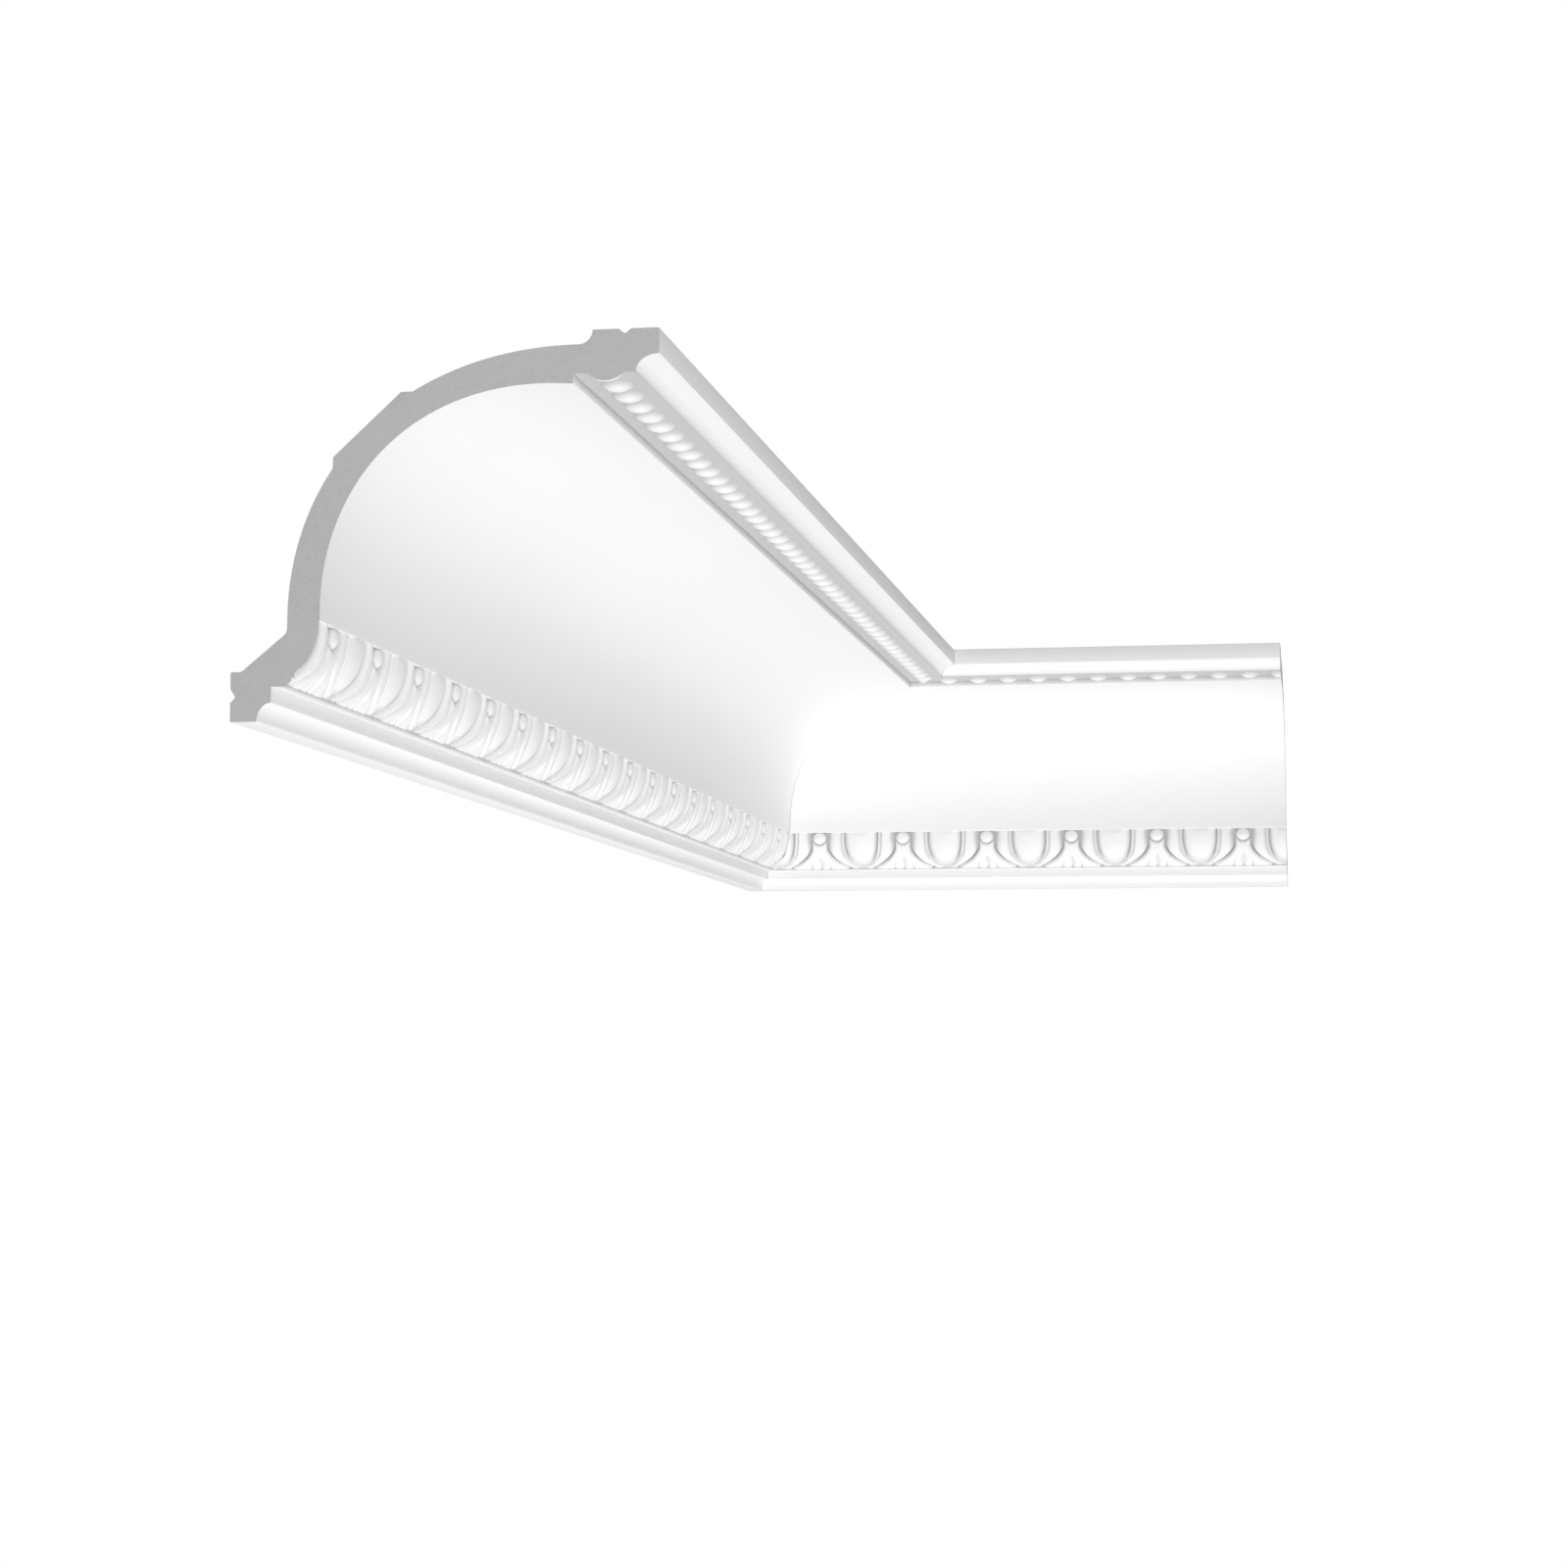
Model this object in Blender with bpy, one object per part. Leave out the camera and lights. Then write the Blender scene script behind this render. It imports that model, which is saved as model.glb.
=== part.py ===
"""Inside-corner group of a coved cornice moulding.

Two lengths of one moulding, mitred together where two walls meet under a ceiling. From the
wall outwards and up, the section has a hollow, a fillet, a band of egg and dart carving, a
deep cove, a soffit with a row of pearls, a second hollow and a plain fascia. The back is
open behind the cove, with flat strips for glue on the wall and on the ceiling.

Metres, +Z up. The back wall is a plane across Y and the left wall a plane across X. The
origin is the mount on the back wall's strip.
"""

import math

import bmesh
import bpy
from mathutils import Vector

# Overall sizes
HEIGHT = 0.157
PROJECTION = 0.178
LEFT_LENGTH = 1.160
RIGHT_LENGTH = 0.403
MITRE_GAP = 0.0003

# Place of the mount on the back wall's lower glue strip
MOUNT_FROM_CORNER = 0.100
MOUNT_ABOVE_UNDERSIDE = 0.0040

# Foot of the section, from the wall outwards and up
UNDERSIDE = 0.0113
LOWER_HOLLOW_WIDTH = 0.0060
LOWER_HOLLOW_HEIGHT = 0.0077
LOWER_FILLET = 0.0065
BAND_SETBACK = 0.0066
BAND_WIDTH = 0.0129
BAND_HEIGHT = 0.0250
BAND_FOOT = 0.0016
BAND_TUCK = 0.0059
COVE_LIP = 0.0007

# Cove face: a conic arc from its foot over the band to its head at the soffit
COVE_LEAN = 0.0035
COVE_RISE = 0.0110
COVE_FULLNESS = 0.758
COVE_STEPS = 20

# Head of the section, from the fascia back towards the cove
FASCIA = 0.0106
UPPER_HOLLOW_WIDTH = 0.0097
UPPER_HOLLOW_HEIGHT = 0.0072
OUTER_FILLET = 0.0051
PEARL_BED = 0.0146
INNER_FILLET = 0.0062
SOFFIT_RISE = 0.0041

# Back of the section
HEEL_THICKNESS = 0.0138
HEEL_ABOVE_COVE_FOOT = 0.0008
HEEL_LEAN = 0.0015
HEEL_DROP = 0.0037
WALL_STRIP = 0.0205
WALL_STRIP_SHELF = 0.0045
CEILING_STRIP = 0.0276
CEILING_FILLET = 0.0058
BACK_RISE = 0.0011
BACK_FULLNESS = 0.789
BACK_STEPS = 18
LAND_WIDTH = 0.0385
LAND_RISE = 0.0008
LAND_SHOULDER = 0.0015
HEEL_RADIUS = 0.0050
SHELF_RADIUS = 0.0030

# Glue grooves in the two strips
WALL_GROOVE_UP = 0.0079
WALL_GROOVE_WIDTH = 0.0058
CEILING_GROOVE_IN = 0.0116
CEILING_GROOVE_WIDTH = 0.0052
GROOVE_DEPTH = 0.0022
GROOVE_RADIUS = 0.0010
WALL_GROOVE_APEX = 0.38

# Egg and dart carving on the band
EGG_PITCH = 0.06244
EGG_HALF_WIDTH = 0.01225
EGG_CLEAR_OF_FOOT = 0.0007
EGG_ROUNDNESS = 2.6
EGG_CROWN = 0.0010
EGG_FALL = 0.0028
EGG_LEAST_HALF_WIDTH = 0.0020
HUSK_CREST = 0.0005
HUSK_CREST_SHARE = 0.75
VALLEY_DEPTH = 0.0024
BEAD_RADIUS = 0.0053
BEAD_BELOW_LIP = 0.0043
BEAD_CROWN = 0.0012
BEAD_EDGE = 0.0003
LEAF_TOP = 0.0095
LEAF_FLARE = 0.0160
LEAF_CROWN = 0.0006
LEAF_NECK = 0.6
VEIN_DEPTH = 0.0014
VEIN_TOP = 0.0170
LIP_MARGIN = 0.0002
LEFT_FIRST_BEAD = 0.0245
RIGHT_FIRST_BEAD = 0.0312

# Pearls under the soffit
PEARL_PITCH = 0.0210
PEARL_DEPTH = 0.0033
PEARL_SIDES = 8
PEARL_RINGS = (1.0, 0.62)
LEFT_FIRST_PEARL = 0.0010
RIGHT_FIRST_PEARL = 0.0005

# Columns of the carving's grid, as shares of the dart, of the husk and of the egg
DART_COLUMNS = (0.0, 0.42, 0.80)
HUSK_COLUMNS = (0.0, 0.35, HUSK_CREST_SHARE)
EGG_COLUMNS = (1.0, 0.62)
LEAF_ROWS = 4
HOLLOW_STEPS = 5
CORNER_STEPS = 3
FILLET_STEPS = 4
BAND_SAMPLES = 120

# Faces that meet at less than this angle are shaded as one curve
SMOOTH_ANGLE = math.radians(32.0)

# White primer coat
PRIMER_COLOUR = (0.86, 0.86, 0.85)
PRIMER_ROUGHNESS = 0.62


def ellipse_arc(centre, radius_u, radius_z, start, end, steps):
    """Points of an elliptic arc in the section plane, angles in degrees from the outward axis."""
    points = []
    for index in range(steps + 1):
        angle = math.radians(start + (end - start) * index / steps)
        points.append((centre[0] + radius_u * math.cos(angle), centre[1] + radius_z * math.sin(angle)))
    return points


def conic_point(start, apex, end, fullness, share):
    """One point of the conic arc that leaves start and reaches end along lines through apex."""
    blend = ((1 - share) ** 2, 2 * fullness * share * (1 - share), share ** 2)
    total = sum(blend)
    return tuple(sum(w * p[axis] for w, p in zip(blend, (start, apex, end))) / total for axis in (0, 1))


def rounded_corner(before, corner, after, radius):
    """Points that round one corner of an outline, with a fillet no longer than half its sides."""
    corner = Vector(corner)
    inwards = (Vector(before) - corner).normalized()
    outwards = (Vector(after) - corner).normalized()
    half_angle = inwards.angle(outwards) / 2
    shortest = min((Vector(before) - corner).length, (Vector(after) - corner).length)
    setback = min(radius / math.tan(half_angle), shortest / 2)
    start, end = corner + inwards * setback, corner + outwards * setback
    weight = math.sin(half_angle)
    shares = [index / CORNER_STEPS for index in range(CORNER_STEPS + 1)]
    return [conic_point(start, corner, end, weight, share) for share in shares]


def groove(mouth_start, mouth_end, deepest):
    """Outline of a rounded V groove between two points of a flat strip."""
    return [mouth_start] + rounded_corner(mouth_start, deepest, mouth_end, GROOVE_RADIUS) + [mouth_end]


class Section:
    """Named levels of the section: u is the distance from the wall, z the height from the ceiling."""

    fillet_u = UNDERSIDE + LOWER_HOLLOW_WIDTH
    fillet_foot = -HEIGHT + LOWER_HOLLOW_HEIGHT
    ledge_z = fillet_foot + LOWER_FILLET
    band_foot_u = fillet_u + BAND_SETBACK
    band_foot_z = ledge_z + BAND_FOOT
    band_head_u = band_foot_u + BAND_WIDTH
    lip_z = band_foot_z + BAND_HEIGHT
    cove_foot = (band_head_u + COVE_LIP, lip_z)
    soffit_z = -FASCIA - UPPER_HOLLOW_HEIGHT
    soffit_out = PROJECTION - UPPER_HOLLOW_WIDTH
    pearl_u = soffit_out - OUTER_FILLET - PEARL_BED / 2
    soffit_in = soffit_out - OUTER_FILLET - PEARL_BED - INNER_FILLET
    cove_head = (soffit_in, soffit_z - SOFFIT_RISE)


def band_curve():
    """The plain band under the carving: a quarter ellipse cut off a little short at its foot."""
    radius_u = BAND_WIDTH + BAND_TUCK
    centre = (Section.band_foot_u - BAND_TUCK, Section.lip_z)
    end = math.degrees(math.acos(BAND_TUCK / radius_u))
    radius_z = BAND_HEIGHT / math.sin(math.radians(end))
    return centre, radius_u, radius_z, end


def band_table():
    """Distances down the band's curve, with the point and the outward normal at each."""
    centre, radius_u, radius_z, end = band_curve()
    points = ellipse_arc(centre, radius_u, radius_z, 0.0, -end, BAND_SAMPLES)
    table, run = [], 0.0
    for index, point in enumerate(points):
        if index:
            run += math.dist(point, points[index - 1])
        normal = Vector(((point[0] - centre[0]) / radius_u ** 2, (point[1] - centre[1]) / radius_z ** 2))
        table.append((run, Vector(point), normal.normalized()))
    return table


def on_band(table, down):
    """The point and normal of the band's curve at a distance down from the lip."""
    for (run_a, point_a, normal_a), (run_b, point_b, normal_b) in zip(table, table[1:]):
        if down <= run_b:
            share = (down - run_a) / (run_b - run_a)
            return point_a.lerp(point_b, share), normal_a.lerp(normal_b, share).normalized()
    return table[-1][1], table[-1][2]


def dart_edge(down, length):
    """Half width of the bead, and of the leaf that flares below it."""
    spread = max(down - LEAF_TOP, 0.0) / (length - LEAF_TOP)
    return BEAD_RADIUS + BEAD_EDGE + LEAF_FLARE * spread ** 2


def egg_edge(down, length):
    """Half width of the egg, full under the lip and closing above the band's foot."""
    share = min(down / (length - EGG_CLEAR_OF_FOOT), 1.0)
    return max(EGG_HALF_WIDTH * math.sqrt(1 - share ** EGG_ROUNDNESS), EGG_LEAST_HALF_WIDTH)


def dart_height(share, down, length):
    """Relief of the bead and leaf at a share of their half width."""
    across = share * dart_edge(down, length)
    if down < LEAF_TOP:
        beyond = math.hypot(across, down - BEAD_BELOW_LIP)
        dome = math.sqrt(max(BEAD_RADIUS ** 2 - beyond ** 2, 0.0)) - BEAD_RADIUS
        return max(BEAD_CROWN + dome, -VALLEY_DEPTH)
    if down == LEAF_TOP:
        return -VALLEY_DEPTH * (LEAF_NECK + (1 - LEAF_NECK) * share)
    height = LEAF_CROWN - (LEAF_CROWN + VALLEY_DEPTH) * share ** 4
    if share == 0.0 and down > VEIN_TOP:
        height -= VEIN_DEPTH
    return height


def husk_height(share):
    """Relief of the husk, rolling up from the dart's valley to its crest beside the egg."""
    climb = math.sin(min(share / HUSK_CREST_SHARE, 1.0) * math.pi / 2)
    return -VALLEY_DEPTH + (VALLEY_DEPTH + HUSK_CREST) * climb


def egg_height(share):
    """Relief of the egg at a share of its half width."""
    return EGG_CROWN - EGG_FALL * share ** 2


def half_row(down, length):
    """Offsets from a bead's centre line to an egg's, with the relief at each, along one row."""
    dart, egg = dart_edge(down, length), egg_edge(down, length)
    egg_start = EGG_PITCH / 2 - egg
    row = [(share * dart, dart_height(share, down, length)) for share in DART_COLUMNS]
    row += [(dart + share * (egg_start - dart), husk_height(share)) for share in HUSK_COLUMNS]
    row += [(EGG_PITCH / 2 - share * egg, egg_height(share)) for share in EGG_COLUMNS]
    if down == 0.0:
        row = [(across, min(height, COVE_LIP - LIP_MARGIN)) for across, height in row]
    return row


def carved_row(down, length, beads):
    """One row of the carving past every bead, and its relief, ending at the last egg's middle."""
    half = half_row(down, length)
    crown = egg_height(0.0) if down > 0.0 else min(egg_height(0.0), COVE_LIP - LIP_MARGIN)
    row = []
    for bead in beads:
        row.append((bead - EGG_PITCH / 2, crown))
        row += [(bead - across, height) for across, height in reversed(half[1:])]
        row += [(bead + across, height) for across, height in half]
    row.append((beads[-1] + EGG_PITCH / 2, crown))
    return row


def carved_grid(beads):
    """Rows of (along, out, down) points that cover the band from its lip to the ledge."""
    table = band_table()
    length = table[-1][0]
    downs = [0.0, BEAD_BELOW_LIP, LEAF_TOP]
    downs += [LEAF_TOP + (length - LEAF_TOP) * (index + 1) / LEAF_ROWS for index in range(LEAF_ROWS)]
    grid = []
    for down in downs:
        point, normal = on_band(table, down)
        row = carved_row(down, length, beads)
        grid.append([(along, *(point + normal * height)) for along, height in row])
    grid.append([(along, out, Section.ledge_z) for along, out, _ in grid[-1]])
    return grid


def front_outline():
    """The room side of the section above the band, from the cove's foot to the ceiling."""
    foot, head = Section.cove_foot, Section.cove_head
    apex = (foot[0] - COVE_LEAN, head[1] + COVE_RISE)
    points = [conic_point(foot, apex, head, COVE_FULLNESS, i / COVE_STEPS) for i in range(COVE_STEPS + 1)]
    points.append((Section.soffit_in, Section.soffit_z))
    points += ellipse_arc((PROJECTION, Section.soffit_z), UPPER_HOLLOW_WIDTH, UPPER_HOLLOW_HEIGHT,
                          180.0, 90.0, HOLLOW_STEPS)
    points.append((PROJECTION, 0.0))
    return points


def back_arc():
    """The back of the cove, from the ceiling strip's fillet to the heel, with its flat land."""
    heel = (Section.cove_foot[0] - HEEL_THICKNESS, Section.lip_z - HEEL_ABOVE_COVE_FOOT)
    head = (PROJECTION - CEILING_STRIP - CEILING_FILLET, -CEILING_FILLET)
    apex = (heel[0] - HEEL_LEAN, head[1] + BACK_RISE)
    middle = Vector(conic_point(head, apex, heel, BACK_FULLNESS, 0.5))
    tangent = (Vector(heel) - Vector(head)).normalized()
    outwards = Vector((tangent[1], -tangent[0]))
    if outwards.dot(Vector(apex) - middle) < 0:
        outwards.negate()
    half = LAND_WIDTH / 2
    before, after = [], []
    for index in range(BACK_STEPS + 1):
        point = conic_point(head, apex, heel, BACK_FULLNESS, index / BACK_STEPS)
        along = (Vector(point) - middle).dot(tangent)
        if along < -half - LAND_SHOULDER:
            before.append(point)
        elif along > half + LAND_SHOULDER:
            after.append(point)
    land = [tuple(middle + outwards * LAND_RISE + tangent * half * side) for side in (-1, 1)]
    return before + land + after


def back_outline():
    """The ceiling strip, the back of the cove, the heel and the wall strip, down to the fillet."""
    strip_in = PROJECTION - CEILING_STRIP
    groove_out = PROJECTION - CEILING_GROOVE_IN
    groove_in = groove_out - CEILING_GROOVE_WIDTH
    points = groove((groove_out, 0.0), (groove_in, 0.0), ((groove_out + groove_in) / 2, -GROOVE_DEPTH))
    fillet_centre = (strip_in - CEILING_FILLET, 0.0)
    points += ellipse_arc(fillet_centre, CEILING_FILLET, CEILING_FILLET, 0.0, -90.0, FILLET_STEPS)[:-1]
    points += back_arc()
    heel_u, heel_z = points[-1]
    strip_top = -HEIGHT + WALL_STRIP
    turn = (heel_u, heel_z - HEEL_DROP)
    shelf = (WALL_STRIP_SHELF, strip_top)
    points += rounded_corner((heel_u, heel_z), turn, shelf, HEEL_RADIUS)
    points += rounded_corner(turn, shelf, (0.0, strip_top), SHELF_RADIUS)
    points.append((0.0, strip_top))
    groove_low = -HEIGHT + WALL_GROOVE_UP
    groove_high = groove_low + WALL_GROOVE_WIDTH
    deepest = (GROOVE_DEPTH, groove_low + WALL_GROOVE_WIDTH * WALL_GROOVE_APEX)
    points += groove((0.0, groove_high), (0.0, groove_low), deepest)
    points += [(0.0, -HEIGHT)]
    points += ellipse_arc((Section.fillet_u, -HEIGHT), LOWER_HOLLOW_WIDTH, LOWER_HOLLOW_HEIGHT,
                          180.0, 90.0, HOLLOW_STEPS)
    points.append((Section.fillet_u, Section.ledge_z))
    return points


def pearl_rings(mesh, centre):
    """One pearl: a shallow dome hanging from the soffit. Returns the edges of its rim."""
    radius = PEARL_BED / 2
    ball = (radius ** 2 + PEARL_DEPTH ** 2) / (2 * PEARL_DEPTH)
    rings = []
    for share in PEARL_RINGS:
        drop = math.sqrt(ball ** 2 - (radius * share) ** 2) - (ball - PEARL_DEPTH)
        ring = []
        for side in range(PEARL_SIDES):
            angle = 2 * math.pi * (side + 0.5) / PEARL_SIDES
            along, out = radius * share * math.cos(angle), radius * share * math.sin(angle)
            ring.append(mesh.verts.new((centre + along, Section.pearl_u + out, Section.soffit_z - drop)))
        rings.append(ring)
    crown = mesh.verts.new((centre, Section.pearl_u, Section.soffit_z - PEARL_DEPTH))
    rim = []
    for side in range(PEARL_SIDES):
        after = (side + 1) % PEARL_SIDES
        mesh.faces.new((rings[0][side], rings[0][after], rings[1][after], rings[1][side]))
        mesh.faces.new((rings[1][side], rings[1][after], crown))
        rim.append(mesh.edges.get((rings[0][side], rings[0][after])))
    return rim


def repeat_centres(first, pitch, start, end):
    """Centres a pitch apart, counted both ways from the first, that lie between start and end."""
    lowest = math.ceil((start - first) / pitch)
    highest = math.floor((end - first) / pitch)
    return [first + pitch * index for index in range(lowest, highest + 1)]


def build_strips(mesh, outline, start, end):
    """Plain faces that run the whole length between the points of an open outline."""
    near = [mesh.verts.new((start, *point)) for point in outline]
    far = [mesh.verts.new((end, *point)) for point in outline]
    soffit = None
    for index in range(len(outline) - 1):
        level = outline[index][1] == outline[index + 1][1] == Section.soffit_z
        corners = (near[index], near[index + 1], far[index + 1], far[index])
        if level:
            soffit = corners
        else:
            mesh.faces.new(corners)
    return near, far, soffit


def fill_soffit(mesh, corners, pearls):
    """The flat soffit with a row of pearls hanging from it."""
    sides = zip(corners, corners[1:] + corners[:1])
    edges = [mesh.edges.get((a, b)) or mesh.edges.new((a, b)) for a, b in sides]
    for centre in pearls:
        edges += pearl_rings(mesh, centre)
    bmesh.ops.triangle_fill(mesh, use_beauty=True, edges=edges)


def cut_square(mesh, point, normal):
    """Cuts the length off at a plane and closes the cut with flat faces."""
    geometry = mesh.verts[:] + mesh.edges[:] + mesh.faces[:]
    cut = bmesh.ops.bisect_plane(mesh, geom=geometry, dist=1e-6, plane_co=point, plane_no=normal,
                                 clear_outer=True)
    rim = [item for item in cut["geom_cut"] if isinstance(item, bmesh.types.BMEdge)]
    bmesh.ops.triangle_fill(mesh, use_beauty=True, edges=rim)


def build_length(name, length, first_bead, first_pearl, place):
    """One mitred length: along runs from its square end to the corner, place puts it in the room."""
    beads = repeat_centres(first_bead, EGG_PITCH, -EGG_PITCH, length + EGG_PITCH)
    start, end = beads[0] - EGG_PITCH / 2, beads[-1] + EGG_PITCH / 2
    grid = carved_grid(beads)
    outline = front_outline() + back_outline()
    mesh = bmesh.new()
    near, far, soffit = build_strips(mesh, outline, start, end)
    rows = [[mesh.verts.new(point) for point in row] for row in grid]
    for upper, lower in zip(rows, rows[1:]):
        for index in range(len(upper) - 1):
            mesh.faces.new((upper[index], upper[index + 1], lower[index + 1], lower[index]))
    mesh.faces.new([near[0], *rows[0], far[0]])
    mesh.faces.new([near[-1], *rows[-1], far[-1]])
    pearls = repeat_centres(first_pearl, PEARL_PITCH, start + PEARL_BED, end - PEARL_BED)
    fill_soffit(mesh, soffit, pearls)
    bmesh.ops.triangulate(mesh, faces=mesh.faces[:], quad_method="SHORT_EDGE", ngon_method="EAR_CLIP")
    cut_square(mesh, (0.0, 0.0, 0.0), (-1.0, 0.0, 0.0))
    setback = MITRE_GAP / math.sqrt(2)
    cut_square(mesh, (length - setback, 0.0, 0.0), (1.0, 1.0, 0.0))
    for vertex in mesh.verts:
        vertex.co = place(*vertex.co)
    bmesh.ops.recalc_face_normals(mesh, faces=mesh.faces[:])
    if mesh.calc_volume(signed=True) < 0:
        bmesh.ops.reverse_faces(mesh, faces=mesh.faces[:])
    data = bpy.data.meshes.new(name)
    mesh.to_mesh(data)
    mesh.free()
    data.shade_smooth()
    data.set_sharp_from_angle(angle=SMOOTH_ANGLE)
    moulding = bpy.data.objects.new(name, data)
    bpy.context.scene.collection.objects.link(moulding)
    moulding.location = (-MOUNT_FROM_CORNER, 0.0, HEIGHT - MOUNT_ABOVE_UNDERSIDE)
    return moulding


def primed_polyurethane(name):
    """Rigid moulded foam under a matt white primer."""
    material = bpy.data.materials.new(name)
    material.use_nodes = True
    shader = material.node_tree.nodes["Principled BSDF"]
    shader.inputs["Base Color"].default_value = (*PRIMER_COLOUR, 1.0)
    shader.inputs["Roughness"].default_value = PRIMER_ROUGHNESS
    shader.inputs["Metallic"].default_value = 0.0
    return material


def main():
    """Builds the two lengths where they meet in the corner."""
    for item in list(bpy.data.objects):
        bpy.data.objects.remove(item, do_unlink=True)
    left = build_length("left_length", LEFT_LENGTH, LEFT_FIRST_BEAD, LEFT_FIRST_PEARL,
                        lambda along, out, up: (out, along - LEFT_LENGTH, up))
    right = build_length("right_length", RIGHT_LENGTH, RIGHT_FIRST_BEAD, RIGHT_FIRST_PEARL,
                         lambda along, out, up: (RIGHT_LENGTH - along, -out, up))
    left.data.materials.append(primed_polyurethane("white_primer_left"))
    right.data.materials.append(primed_polyurethane("white_primer_right"))
    corner = bpy.data.objects.new("corner_group", None)
    bpy.context.scene.collection.objects.link(corner)
    for moulding in (left, right):
        moulding.parent = corner


main()
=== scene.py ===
"""Visual model of an inside-corner group of a coved cornice moulding.

Two lengths of one moulding meet in a mitre. Each length is one moulded piece: a plain section
swept along it, a band of egg and dart, and a row of pearls under the soffit. Sizes are in
millimetres until a mesh is made, and meshes are in metres in the model's own frame.
"""

from __future__ import annotations

import logging
import math
from collections.abc import Callable
from dataclasses import dataclass, field
from enum import Enum
from typing import Any

import bmesh
import bpy
import numpy as np
from mathutils import Matrix, Vector

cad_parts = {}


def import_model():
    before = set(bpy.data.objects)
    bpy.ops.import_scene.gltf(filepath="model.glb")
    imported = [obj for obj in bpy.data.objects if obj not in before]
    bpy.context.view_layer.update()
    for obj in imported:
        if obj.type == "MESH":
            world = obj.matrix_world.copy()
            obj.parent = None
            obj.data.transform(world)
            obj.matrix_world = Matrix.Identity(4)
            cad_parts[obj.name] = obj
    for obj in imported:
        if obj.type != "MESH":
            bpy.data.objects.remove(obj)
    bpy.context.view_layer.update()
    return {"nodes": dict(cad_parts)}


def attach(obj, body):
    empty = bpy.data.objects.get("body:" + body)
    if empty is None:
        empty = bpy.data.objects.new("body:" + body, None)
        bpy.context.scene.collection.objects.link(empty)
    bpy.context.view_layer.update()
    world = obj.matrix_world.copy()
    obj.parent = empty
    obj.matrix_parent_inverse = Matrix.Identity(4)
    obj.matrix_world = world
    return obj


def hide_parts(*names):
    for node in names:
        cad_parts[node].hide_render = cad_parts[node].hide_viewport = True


logger = logging.getLogger("cornice")

METRES = 0.001
# Vertex attribute of painted shade: how far the primer is greyed where shade falls.
PAINTED_SHADE_ATTRIBUTE = "thin_coat"
# Radians that Blender's wave texture turns in one unit of length, at scale one.
WAVE_TURN = 20.0
# Length in millimetres of a line that only gives a corner its direction.
HELPER_LINE = 1.0
# Millimetres within which a vertex counts as at its place in the section, or on a saw cut.
SAME_PLACE = 0.002
ON_CUT = 0.001
# Metres within which a vertex is taken to the saw cut beside it.
CUT_SNAP = 1e-7

Point = tuple[float, float]
Place = tuple[float, float, float]
Row = list[bmesh.types.BMVert]
Test = Callable[[float, float], bool]


def linear(hex_colour: str) -> tuple[float, float, float, float]:
    """Turns an sRGB hex colour into the linear colour that a socket takes.

    Args:
        hex_colour: A colour such as "#F2F2F0".

    Returns:
        Linear red, green and blue, with an alpha of one.
    """
    parts = [int(hex_colour[i:i + 2], 16) / 255.0 for i in (1, 3, 5)]
    curve = [p / 12.92 if p <= 0.04045 else ((p + 0.055) / 1.055) ** 2.4 for p in parts]
    return (*curve, 1.0)


def add_node(tree: bpy.types.NodeTree, kind: str, settings: dict[str, Any] | None = None,
             inputs: dict[str | int, Any] | None = None) -> bpy.types.Node:
    """Adds one node to a tree, with its settings, values and links.

    Args:
        tree: The tree that gets the node.
        kind: The node's type name.
        settings: Properties of the node itself.
        inputs: Input sockets by name or index; a socket as value makes a link.

    Returns:
        The new node.
    """
    node = tree.nodes.new(kind)
    for name, value in (settings or {}).items():
        setattr(node, name, value)
    for name, value in (inputs or {}).items():
        for item in value if isinstance(value, list) else [value]:
            if isinstance(item, bpy.types.NodeSocket):
                tree.links.new(item, node.inputs[name])
            else:
                node.inputs[name].default_value = item
    return node


def add_object(name: str, data: bpy.types.ID) -> bpy.types.Object:
    """Makes an object of its data and puts it in the scene.

    Args:
        name: Name of the object.
        data: Its mesh, light or camera.

    Returns:
        The new object.
    """
    item = bpy.data.objects.new(name, data)
    bpy.context.scene.collection.objects.link(item)
    return item


def new_material(name: str) -> tuple[bpy.types.Material, bpy.types.NodeTree, bpy.types.Node]:
    """Makes a plain material.

    Args:
        name: Name of the material.

    Returns:
        The material, its node tree and its shader.
    """
    material = bpy.data.materials.new(name)
    material.use_nodes = True
    return material, material.node_tree, material.node_tree.nodes["Principled BSDF"]


def smooth(value: np.ndarray | float) -> np.ndarray:
    """Rises smoothly from nought to one as the value goes from nought to one."""
    share = np.clip(value, 0.0, 1.0)
    return share * share * (3.0 - 2.0 * share)


def blended_max(first: np.ndarray, second: np.ndarray, softness: float) -> np.ndarray:
    """The higher of two reliefs, with the crease between them softened."""
    return (first + second + np.sqrt((first - second) ** 2 + softness ** 2)) / 2


def eased(value: np.ndarray, knots: list[Point]) -> np.ndarray:
    """Interpolates between knots with a level tangent at each.

    Args:
        value: Where to read the curve.
        knots: Rising positions with the height at each.

    Returns:
        The height at each value.
    """
    result = np.full_like(value, knots[0][1])
    for (start, low), (end, high) in zip(knots, knots[1:]):
        share = smooth((value - start) / (end - start))
        result = np.where(value > start, low + (high - low) * share, result)
    return result


def ellipse_arc(centre: Point, radii: Point, start: float, end: float, steps: int) -> list[Point]:
    """Points of an elliptic arc in the section plane.

    Args:
        centre: Centre of the ellipse.
        radii: Radius outwards and radius upwards.
        start: First angle in degrees from the outward axis.
        end: Last angle in degrees.
        steps: Number of chords.

    Returns:
        The arc's points from start to end.
    """
    angles = [math.radians(start + (end - start) * i / steps) for i in range(steps + 1)]
    return [(centre[0] + radii[0] * math.cos(a), centre[1] + radii[1] * math.sin(a)) for a in angles]


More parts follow.
